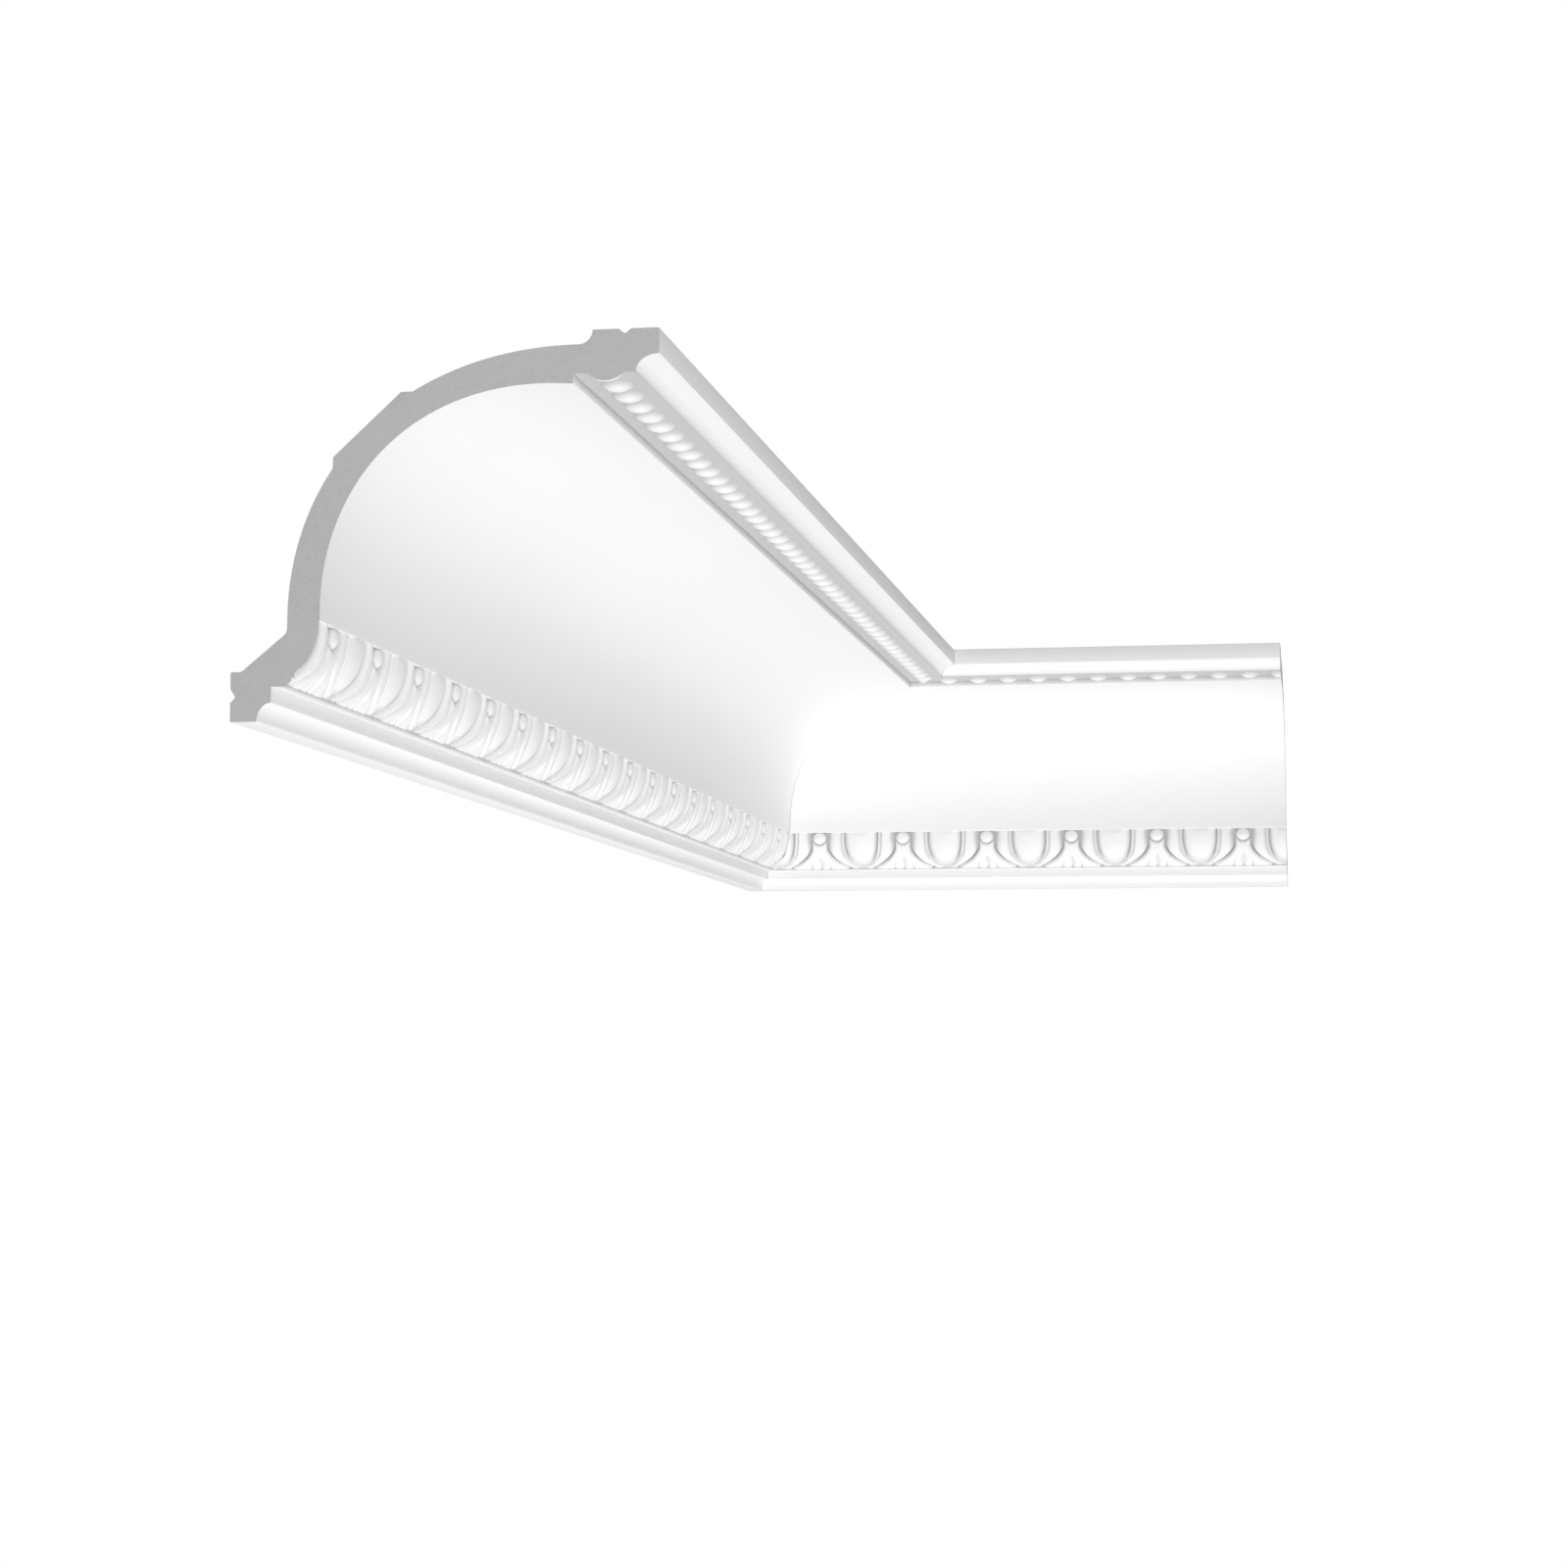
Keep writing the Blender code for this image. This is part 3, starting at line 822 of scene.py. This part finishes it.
@dataclass(frozen=True)
class Pearls:
    """One tile of the soffit with a pearl hanging from its middle."""

    section: Section
    pitch: float = 21.0
    depth: float = 3.3
    sides: int = 28
    rings: tuple[float, ...] = (1.0, 0.95, 0.85, 0.69, 0.48, 0.25)
    # Painted shade: full on the pearl bed, fading up each pearl to nothing at this share of its depth.
    painted_shade_strength: float = 0.8
    shade_fade_share: float = 0.95

    def build(self) -> bpy.types.Object:
        """Makes the tile, its pearl a shallow part of a ball.

        Returns:
            An open sheet as wide as the soffit and as long as the pearls' pitch.
        """
        section = self.section
        mesh = bmesh.new()
        corners = [mesh.verts.new(Vector((side * self.pitch / 2, u, section.soffit_z)) * METRES)
                   for side, u in ((-1, section.soffit_in), (1, section.soffit_in),
                                   (1, section.soffit_out), (-1, section.soffit_out))]
        edges = [mesh.edges.new((corners[i], corners[(i + 1) % 4])) for i in range(4)]
        radius = section.pearl_bed / 2
        ball = (radius ** 2 + self.depth ** 2) / (2 * self.depth)
        rings = []
        for share in self.rings:
            drop = math.sqrt(ball ** 2 - (radius * share) ** 2) - (ball - self.depth)
            turns = [2 * math.pi * i / self.sides for i in range(self.sides)]
            rings.append([mesh.verts.new(Vector((radius * share * math.cos(t),
                                                 section.pearl_u + radius * share * math.sin(t),
                                                 section.soffit_z - drop)) * METRES) for t in turns])
        crown = mesh.verts.new(Vector((0.0, section.pearl_u, section.soffit_z - self.depth)) * METRES)
        for side in range(self.sides):
            after = (side + 1) % self.sides
            for outer, inner in zip(rings, rings[1:]):
                mesh.faces.new((outer[side], outer[after], inner[after], inner[side]))
            mesh.faces.new((rings[-1][side], rings[-1][after], crown))
            edges.append(mesh.edges.get((rings[0][side], rings[0][after])))
        bmesh.ops.triangle_fill(mesh, use_beauty=True, edges=edges)
        data = bpy.data.meshes.new("pearl_repeat")
        mesh.to_mesh(data)
        mesh.free()
        # Painted shade: the bed is greyed and each pearl lightens towards its crown.
        heights = np.array([vertex.co.z for vertex in data.vertices]) / METRES
        shade_share = 1.0 - (section.soffit_z - heights) / (self.shade_fade_share * self.depth)
        set_painted_shade(data, self.painted_shade_strength * smooth(shade_share))
        return add_object("pearl_repeat", data)


@dataclass(frozen=True)
class PrimerCoat:
    """White acrylic primer, sprayed on in the factory: matt, with a faint orange peel.

    The eye sees an even white that never glints, greyed by painted shade round the pearls, in the deep
    grooves and on the ledge. Only close by does it see the fine bumps that the spray leaves. They
    are about a millimetre across, drawn at three so that they show.
    """

    name: str = "sprayed_white_acrylic_primer"
    colour: str = "#F4F4F4"
    uneven_colour: str = "#EFEFEF"
    painted_shade_colour: str = "#B8B8B8"
    roughness: float = 0.58
    roughness_drift: float = 0.05
    ior: float = 1.47
    peel_mm: float = 3.0
    peel_height_mm: float = 0.02
    peel_strength: float = 0.35
    drift_mm: float = 180.0

    def build(self) -> bpy.types.Material:
        """Makes the material from noise on object coordinates.

        Returns:
            The material.
        """
        material, tree, shader = new_material(self.name)
        place = add_node(tree, "ShaderNodeTexCoord").outputs["Object"]
        drift = add_node(tree, "ShaderNodeTexNoise", {}, {
            "Vector": place, "Scale": 1 / (self.drift_mm * METRES), "Detail": 3.0, "Roughness": 0.5})
        peel = add_node(tree, "ShaderNodeTexNoise", {}, {
            "Vector": place, "Scale": 1 / (self.peel_mm * METRES), "Detail": 2.0, "Roughness": 0.45})
        tone = add_node(tree, "ShaderNodeMix", {"data_type": "RGBA"}, {
            "Factor": drift.outputs["Fac"], 6: linear(self.colour), 7: linear(self.uneven_colour)})
        # Painted shade: the primer is mixed towards a grey by the vertex attribute.
        shaded = add_node(tree, "ShaderNodeAttribute", {"attribute_name": PAINTED_SHADE_ATTRIBUTE})
        shaded_tone = add_node(tree, "ShaderNodeMix", {"data_type": "RGBA"}, {
            "Factor": shaded.outputs["Fac"], 6: tone.outputs[2], 7: linear(self.painted_shade_colour)})
        sheen = add_node(tree, "ShaderNodeMapRange", {}, {
            "Value": drift.outputs["Fac"], "To Min": self.roughness - self.roughness_drift,
            "To Max": self.roughness + self.roughness_drift})
        bump = add_node(tree, "ShaderNodeBump", {}, {
            "Height": peel.outputs["Fac"], "Strength": self.peel_strength,
            "Distance": self.peel_height_mm * METRES})
        tree.links.new(shaded_tone.outputs[2], shader.inputs["Base Color"])
        tree.links.new(sheen.outputs["Result"], shader.inputs["Roughness"])
        tree.links.new(bump.outputs["Normal"], shader.inputs["Normal"])
        shader.inputs["IOR"].default_value = self.ior
        return material


@dataclass(frozen=True)
class FoamCore:
    """Rigid polyurethane foam, sawn across: a grey matt face of fine cells.

    The eye sees a flat grey, slightly speckled by the cut cells and faintly striped by the saw.
    The cells are a fifth of a millimetre, drawn at one and a half so that they show.
    """

    name: str = "sawn_rigid_polyurethane_foam"
    colour: str = "#D0D0D0"
    cell_colour: str = "#C0C0C0"
    roughness: float = 0.85
    cell_mm: float = 1.5
    cells_in_a_cloud: float = 8.0
    saw_mm: float = 4.0
    saw_share: float = 0.25
    depth_mm: float = 0.12
    depth_strength: float = 0.5

    def build(self) -> bpy.types.Material:
        """Makes the material from cells and saw lines on object coordinates.

        Returns:
            The material.
        """
        material, tree, shader = new_material(self.name)
        place = add_node(tree, "ShaderNodeTexCoord").outputs["Object"]
        cells = add_node(tree, "ShaderNodeTexVoronoi", {}, {
            "Vector": place, "Scale": 1 / (self.cell_mm * METRES)})
        cloud = add_node(tree, "ShaderNodeTexNoise", {}, {
            "Vector": place, "Scale": 1 / (self.cells_in_a_cloud * self.cell_mm * METRES), "Detail": 4.0})
        saw = add_node(tree, "ShaderNodeTexWave", {"bands_direction": "Z"}, {
            "Vector": place, "Scale": math.tau / (WAVE_TURN * self.saw_mm * METRES),
            "Distortion": 1.5, "Detail": 1.0})
        speckle = add_node(tree, "ShaderNodeMath", {"operation": "MULTIPLY"}, {
            0: cells.outputs["Distance"], 1: cloud.outputs["Fac"]})
        tone = add_node(tree, "ShaderNodeMix", {"data_type": "RGBA"}, {
            "Factor": speckle.outputs[0], 6: linear(self.colour), 7: linear(self.cell_colour)})
        height = add_node(tree, "ShaderNodeMath", {"operation": "MULTIPLY_ADD"}, {
            0: saw.outputs["Fac"], 1: self.saw_share, 2: cells.outputs["Distance"]})
        bump = add_node(tree, "ShaderNodeBump", {}, {
            "Height": height.outputs[0], "Strength": self.depth_strength,
            "Distance": self.depth_mm * METRES})
        tree.links.new(tone.outputs[2], shader.inputs["Base Color"])
        tree.links.new(bump.outputs["Normal"], shader.inputs["Normal"])
        shader.inputs["Roughness"].default_value = self.roughness
        return material


class Wall(Enum):
    """The wall that a length is fixed to."""

    LEFT = "left"
    BACK = "back"


@dataclass
class MouldingLength:
    """One mitred length, fixed to one wall.

    Its own frame runs along from the square end, out from the wall and up from the ceiling. The
    first bead and the first pearl are given as distances along it.
    """

    name: str
    slot: str
    wall: Wall
    length: float
    first_bead: float
    first_pearl: float
    carving: EggAndDart
    pearls: Pearls
    mitre_gap: float = 0.3
    mount_from_corner: float = 100.0
    mount_above_underside: float = 4.0
    sharp_angle: float = 42.0
    merge_within: float = 0.01
    section: Section = field(default_factory=Section)

    def sweep_tree(self) -> bpy.types.NodeTree:
        """Builds the tree that sweeps the section and repeats the carving and the pearls along it.

        Returns:
            The tree, with an input for each size and each source.
        """
        tree = bpy.data.node_groups.new(self.name + "_run", "GeometryNodeTree")
        kinds = {"Profile": "Geometry", "Run": "Float", "Carved repeat": "Object", "Carved count": "Int",
                 "Carved start": "Float", "Carved pitch": "Float", "Pearl repeat": "Object",
                 "Pearl count": "Int", "Pearl start": "Float", "Pearl pitch": "Float", "Primer": "Material"}
        for label, kind in kinds.items():
            tree.interface.new_socket(label, in_out="INPUT", socket_type="NodeSocket" + kind)
        tree.interface.new_socket("Moulding", in_out="OUTPUT", socket_type="NodeSocketGeometry")
        given = add_node(tree, "NodeGroupInput").outputs
        run = add_node(tree, "ShaderNodeCombineXYZ", {}, {"X": given["Run"]})
        swept = add_node(tree, "GeometryNodeExtrudeMesh", {"mode": "EDGES"}, {
            "Mesh": given["Profile"], "Offset": run.outputs[0]})
        parts = [swept.outputs["Mesh"]]
        for kind in ("Carved", "Pearl"):
            step = add_node(tree, "ShaderNodeCombineXYZ", {}, {"X": given[kind + " pitch"]})
            start = add_node(tree, "ShaderNodeCombineXYZ", {}, {"X": given[kind + " start"]})
            line = add_node(tree, "GeometryNodeMeshLine", {"mode": "OFFSET"}, {
                "Count": given[kind + " count"], "Start Location": start.outputs[0],
                "Offset": step.outputs[0]})
            source = add_node(tree, "GeometryNodeObjectInfo", {}, {"Object": given[kind + " repeat"]})
            placed = add_node(tree, "GeometryNodeInstanceOnPoints", {}, {
                "Points": line.outputs["Mesh"], "Instance": source.outputs["Geometry"]})
            parts.append(placed.outputs["Instances"])
        joined = add_node(tree, "GeometryNodeJoinGeometry", {}, {"Geometry": parts})
        real = add_node(tree, "GeometryNodeRealizeInstances", {}, {"Geometry": joined.outputs[0]})
        merged = add_node(tree, "GeometryNodeMergeByDistance", {}, {
            "Geometry": real.outputs[0], "Distance": self.merge_within * METRES})
        painted = add_node(tree, "GeometryNodeSetMaterial", {}, {
            "Geometry": merged.outputs[0], "Material": given["Primer"]})
        add_node(tree, "NodeGroupOutput", {}, {"Moulding": painted.outputs[0]})
        return tree

    def sweep(self, primer: bpy.types.Material) -> bpy.types.Mesh:
        """Sweeps the section and its repeats past both ends of the length.

        Args:
            primer: The coat on every moulded face.

        Returns:
            The swept sheets, not yet joined where the carving meets the plain section.
        """
        past = self.length + self.carving.pitch
        beads = repeat_centres(self.first_bead, self.carving.pitch, -self.carving.pitch, past)
        tiles = repeat_centres(self.first_pearl, self.pearls.pitch, -self.pearls.pitch, past)
        start = beads[0] - self.carving.pitch / 2
        end = beads[-1] + self.carving.pitch / 2
        chains = (self.section.cove()[1:], self.section.head() + self.section.back()[:-1])
        verts = [(start * METRES, u * METRES, z * METRES) for chain in chains for u, z in chain]
        split = len(chains[0])
        edges = [(i, i + 1) for i in range(len(verts) - 1) if i + 1 != split]
        data = bpy.data.meshes.new(self.name + "_profile")
        data.from_pydata(verts, edges, [])
        profile = add_object(self.name + "_profile", data)
        units = (self.carving.build(), self.pearls.build())
        modifier = profile.modifiers.new("run", "NODES")
        modifier.node_group = self.sweep_tree()
        values = {"Run": (end - start) * METRES,
                  "Carved repeat": units[0], "Carved count": len(beads),
                  "Carved start": beads[0] * METRES, "Carved pitch": self.carving.pitch * METRES,
                  "Pearl repeat": units[1], "Pearl count": len(tiles),
                  "Pearl start": tiles[0] * METRES, "Pearl pitch": self.pearls.pitch * METRES,
                  "Primer": primer}
        sockets = {item.name: item.identifier for item in modifier.node_group.interface.items_tree}
        for label, value in values.items():
            modifier[sockets[label]] = value
        bpy.context.view_layer.update()
        shape = profile.evaluated_get(bpy.context.evaluated_depsgraph_get())
        result = bpy.data.meshes.new_from_object(shape)
        for item in (profile, *units):
            bpy.data.objects.remove(item, do_unlink=True)
        return result

    @staticmethod
    def line_of(mesh: bmesh.types.BMesh, test: Test) -> Row:
        """Finds a line of vertices on the edge of a sheet.

        Args:
            mesh: The swept moulding.
            test: Says whether a point of the section (out, up) is on the line.

        Returns:
            The vertices in order along the length.
        """
        found = [v for v in mesh.verts if test(v.co.y / METRES, v.co.z / METRES)
                 and any(e.is_boundary for e in v.link_edges)]
        return sorted(found, key=lambda v: v.co.x)

    def last_x(self, u: float) -> float:
        """Where the mitre ends the length, in metres, at a distance u in metres from the wall."""
        return (self.length - self.mitre_gap / math.sqrt(2)) * METRES - u

    def mated(self, mesh: bmesh.types.BMesh, row: Row, line: Point) -> Row:
        """Joins a carved row to a straight line level with it, vertex by vertex.

        Args:
            mesh: The swept moulding.
            row: The carved row's vertices.
            line: Place of the straight line in the section.

        Returns:
            The straight line's vertices, which end where the mitre ends it.
        """
        u, z = line[0] * METRES, line[1] * METRES
        last = self.last_x(u)
        mates = []
        for vertex in row[:-1]:
            if not mates or vertex.co.x < last - self.carving.least_gap * METRES:
                mates.append(mesh.verts.new((vertex.co.x, u, z)))
            else:
                mates.append(mates[-1])
        mates.append(mesh.verts.new((last, u, z)))
        for index in range(len(row) - 1):
            corners = [row[index], row[index + 1], mates[index + 1], mates[index]]
            mesh.faces.new(list(dict.fromkeys(corners)))
        return list(dict.fromkeys(mates))

    @staticmethod
    def fan(mesh: bmesh.types.BMesh, row: Row, plain: Row) -> None:
        """Closes the strip between a straight row and a plain line.

        Args:
            mesh: The swept moulding.
            row: The straight row's many vertices.
            plain: The plain line's two vertices.
        """
        near, far = plain[0], plain[-1]
        middle = len(row) // 2
        for index in range(len(row) - 1):
            mesh.faces.new((row[index], row[index + 1], near if index < middle else far))
        mesh.faces.new((row[middle], near, far))

    def join_sheets(self, mesh: bmesh.types.BMesh) -> None:
        """Closes the lip, the ledge, the step and the hollow's foot between the swept sheets.

        Args:
            mesh: The swept moulding, sawn to its length.
        """
        section = self.section
        cove, head, back = section.cove(), section.head(), section.back()

        def at(point: Point) -> Test:
            """Tests for one point of the section."""
            return lambda u, z: abs(u - point[0]) < SAME_PLACE and abs(z - point[1]) < SAME_PLACE

        def level(height: float, least: float) -> Test:
            """Tests for a height, further than the least distance from the wall."""
            return lambda u, z: abs(z - height) < SAME_PLACE and u > least

        carved_head = self.line_of(mesh, level(section.lip_z, section.fillet_u))
        carved_foot = self.line_of(mesh, level(section.ledge_z, section.fillet_u))
        soffit_in = self.line_of(mesh, at((section.soffit_in, section.soffit_z)))
        soffit_out = self.line_of(mesh, at((section.soffit_out, section.soffit_z)))
        plain = [self.line_of(mesh, at(point)) for point in (cove[1], back[-2], cove[-1], head[0])]
        lip = self.mated(mesh, carved_head, cove[0])
        ledge = self.mated(mesh, carved_foot, back[-1])
        for row, line in zip((lip, ledge, soffit_in, soffit_out), plain):
            self.fan(mesh, row, line)

    @staticmethod
    def saw(mesh: bmesh.types.BMesh, place: Point, normal: Point) -> None:
        """Takes off what lies beyond an upright cut.

        Args:
            mesh: The swept moulding.
            place: A point of the cut, along the length and out from the wall.
            normal: The side that is taken off, in the same two directions.
        """
        geometry = mesh.verts[:] + mesh.edges[:] + mesh.faces[:]
        bmesh.ops.bisect_plane(mesh, geom=geometry, dist=CUT_SNAP, clear_outer=True,
                               plane_co=Vector((*place, 0.0)) * METRES, plane_no=(*normal, 0.0))

    @staticmethod
    def close_end(mesh: bmesh.types.BMesh, place: Point, normal: Point) -> None:
        """Closes a sawn end with the foam core.

        Args:
            mesh: The moulding, sawn to its length.
            place: A point of the cut, along the length and out from the wall.
            normal: The side that was taken off, in the same two directions.
        """
        middle, across = Vector((*place, 0.0)) * METRES, Vector((*normal, 0.0)).normalized()
        rim = [edge for edge in mesh.edges if edge.is_boundary
               and all(abs((vertex.co - middle).dot(across)) < ON_CUT * METRES for vertex in edge.verts)]
        filled = bmesh.ops.triangle_fill(mesh, use_beauty=True, edges=rim)
        for item in filled["geom"]:
            if isinstance(item, bmesh.types.BMFace):
                item.material_index = 1

    def in_room(self, co: Vector) -> Vector:
        """Takes a point from the length's own frame to the model's.

        Args:
            co: The point (along, out, up), in metres.

        Returns:
            The point in the model's frame.
        """
        length = self.length * METRES
        if self.wall is Wall.LEFT:
            turned = Vector((co.y, co.x - length, co.z))
        else:
            turned = Vector((length - co.x, -co.y, co.z))
        rise = self.section.height - self.mount_above_underside
        return turned + Vector((-self.mount_from_corner, 0.0, rise)) * METRES

    def build(self, primer: bpy.types.Material, core: bpy.types.Material) -> bpy.types.Object:
        """Builds the length as one closed piece that stands for its node.

        Args:
            primer: The coat on every moulded face.
            core: The foam that shows on the sawn ends.

        Returns:
            The finished piece.
        """
        data = self.sweep(primer)
        mesh = bmesh.new()
        mesh.from_mesh(data)
        ends = (((0.0, 0.0), (-1.0, 0.0)), ((self.last_x(0.0) / METRES, 0.0), (1.0, 1.0)))
        for place, normal in ends:
            self.saw(mesh, place, normal)
        self.join_sheets(mesh)
        for face in mesh.faces:
            face.material_index = 0
        for place, normal in ends:
            self.close_end(mesh, place, normal)
        for vertex in mesh.verts:
            vertex.co = self.in_room(vertex.co)
        bmesh.ops.recalc_face_normals(mesh, faces=mesh.faces[:])
        if mesh.calc_volume(signed=True) < 0:
            bmesh.ops.reverse_faces(mesh, faces=mesh.faces[:])
        open_edges = sum(1 for edge in mesh.edges if not edge.is_manifold)
        triangles = sum(len(face.verts) - 2 for face in mesh.faces)
        data.materials.clear()
        data.materials.append(primer)
        data.materials.append(core)
        mesh.to_mesh(data)
        mesh.free()
        data.shade_smooth()
        data.set_sharp_from_angle(angle=math.radians(self.sharp_angle))
        for face in data.polygons:
            face.use_smooth = face.material_index == 0
        piece = add_object(self.name + "_moulding", data)
        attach(piece, "root")
        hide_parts(self.name)
        logger.info("%s: %d triangles, %d open edges", piece.name, triangles, open_edges)
        return piece


@dataclass(frozen=True)
class SoftLight:
    """A round soft light that shines on the middle of the model."""

    name: str
    power: float
    direction: Place
    distance: float = 2.2
    size: float = 1.6

    def build(self, target: Place) -> None:
        """Hangs the light, out of the camera's sight.

        Args:
            target: The point that it shines on.
        """
        data = bpy.data.lights.new(self.name, "AREA")
        data.shape = "DISK"
        data.size = self.size
        data.energy = self.power
        lamp = add_object(self.name, data)
        direction = Vector(self.direction).normalized()
        lamp.location = Vector(target) + direction * self.distance
        lamp.rotation_euler = direction.to_track_quat("Z", "Y").to_euler()
        lamp.visible_camera = False


@dataclass
class Studio:
    """Pale floor, soft light from below, from the right and from behind, and the camera."""

    floor_level: float = -2.6
    floor_size: float = 5.0
    floor_colour: str = "#E9E9E9"
    floor_roughness: float = 0.9
    ambient: float = 0.37
    lights: tuple[SoftLight, ...] = (
        SoftLight("light_from_below", 31.0, (0.0, -0.1, -1.0)),
        SoftLight("light_from_the_right", 64.0, (0.53, -0.83, -0.17), distance=4.0, size=2.6),
        SoftLight("light_from_behind", 18.0, (-0.45, 0.75, 0.48)),
    )
    target: Place = (0.05, -0.45, 0.07)
    lens: float = 74.74
    sensor: float = 36.0
    sight: Point = (0.01, 100.0)
    camera_place: Place = (0.3495, -2.4198, -0.1515)
    camera_right: Place = (0.98510, 0.17196, 0.00220)
    camera_down: Place = (-0.01378, 0.09168, -0.99569)
    camera_forward: Place = (-0.17143, 0.98083, 0.09269)

    def build_floor(self) -> None:
        """Lays a plain pale floor well below the moulding."""
        half = self.floor_size / 2
        data = bpy.data.meshes.new("studio_floor")
        sides = ((-half, -half), (half, -half), (half, half), (-half, half))
        data.from_pydata([(*side, self.floor_level) for side in sides], [], [(0, 1, 2, 3)])
        paint, _, shader = new_material("pale_matt_floor")
        shader.inputs["Base Color"].default_value = linear(self.floor_colour)
        shader.inputs["Roughness"].default_value = self.floor_roughness
        data.materials.append(paint)
        floor = add_object("studio_floor", data)

    def build_world(self) -> None:
        """Surrounds the model with an even pale light, seen as plain white."""
        world = bpy.data.worlds.new("studio_surround")
        bpy.context.scene.world = world
        world.use_nodes = True
        tree = world.node_tree
        tree.nodes.clear()
        white = linear("#FFFFFF")
        seen = add_node(tree, "ShaderNodeBackground", {}, {"Color": white, "Strength": 1.0})
        light = add_node(tree, "ShaderNodeBackground", {}, {"Color": white, "Strength": self.ambient})
        path = add_node(tree, "ShaderNodeLightPath")
        mixed = add_node(tree, "ShaderNodeMixShader", {}, {
            0: path.outputs["Is Camera Ray"], 1: light.outputs[0], 2: seen.outputs[0]})
        add_node(tree, "ShaderNodeOutputWorld", {}, {"Surface": mixed.outputs[0]})

    def build_camera(self) -> None:
        """Stands the camera where the photograph was taken from."""
        data = bpy.data.cameras.new("photograph_view")
        data.sensor_width = self.sensor
        data.lens = self.lens
        data.clip_start, data.clip_end = self.sight
        camera = add_object("photograph_view", data)
        axes = (Vector(self.camera_right), -Vector(self.camera_down), -Vector(self.camera_forward))
        turn = Matrix(axes).transposed().to_4x4()
        camera.matrix_world = Matrix.Translation(Vector(self.camera_place)) @ turn
        bpy.context.scene.camera = camera

    def build(self) -> None:
        """Sets up everything round the model."""
        self.build_camera()
        self.build_floor()
        self.build_world()
        for light in self.lights:
            light.build(self.target)
        bpy.context.scene.view_settings.view_transform = "Standard"


def main() -> None:
    """Builds the studio and both lengths, and logs each piece with its triangles and open edges."""
    logging.basicConfig(level=logging.INFO, format="%(name)s: %(message)s")
    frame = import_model()
    Studio().build()
    primer, core = PrimerCoat().build(), FoamCore().build()
    section = Section()
    carving, pearls = EggAndDart(section), Pearls(section)
    lengths = (
        MouldingLength(name="left_length", slot="white_primer_left", wall=Wall.LEFT, length=1160.0,
                       first_bead=24.5, first_pearl=1.0, carving=carving, pearls=pearls),
        MouldingLength(name="right_length", slot="white_primer_right", wall=Wall.BACK, length=403.0,
                       first_bead=31.2, first_pearl=0.5, carving=carving, pearls=pearls),
    )
    for moulding in lengths:
        piece = moulding.build(primer, core)
        logger.info("%s stands for %s of %d nodes", piece.name, moulding.name, len(frame["nodes"]))


if __name__ == "__main__":
    main()
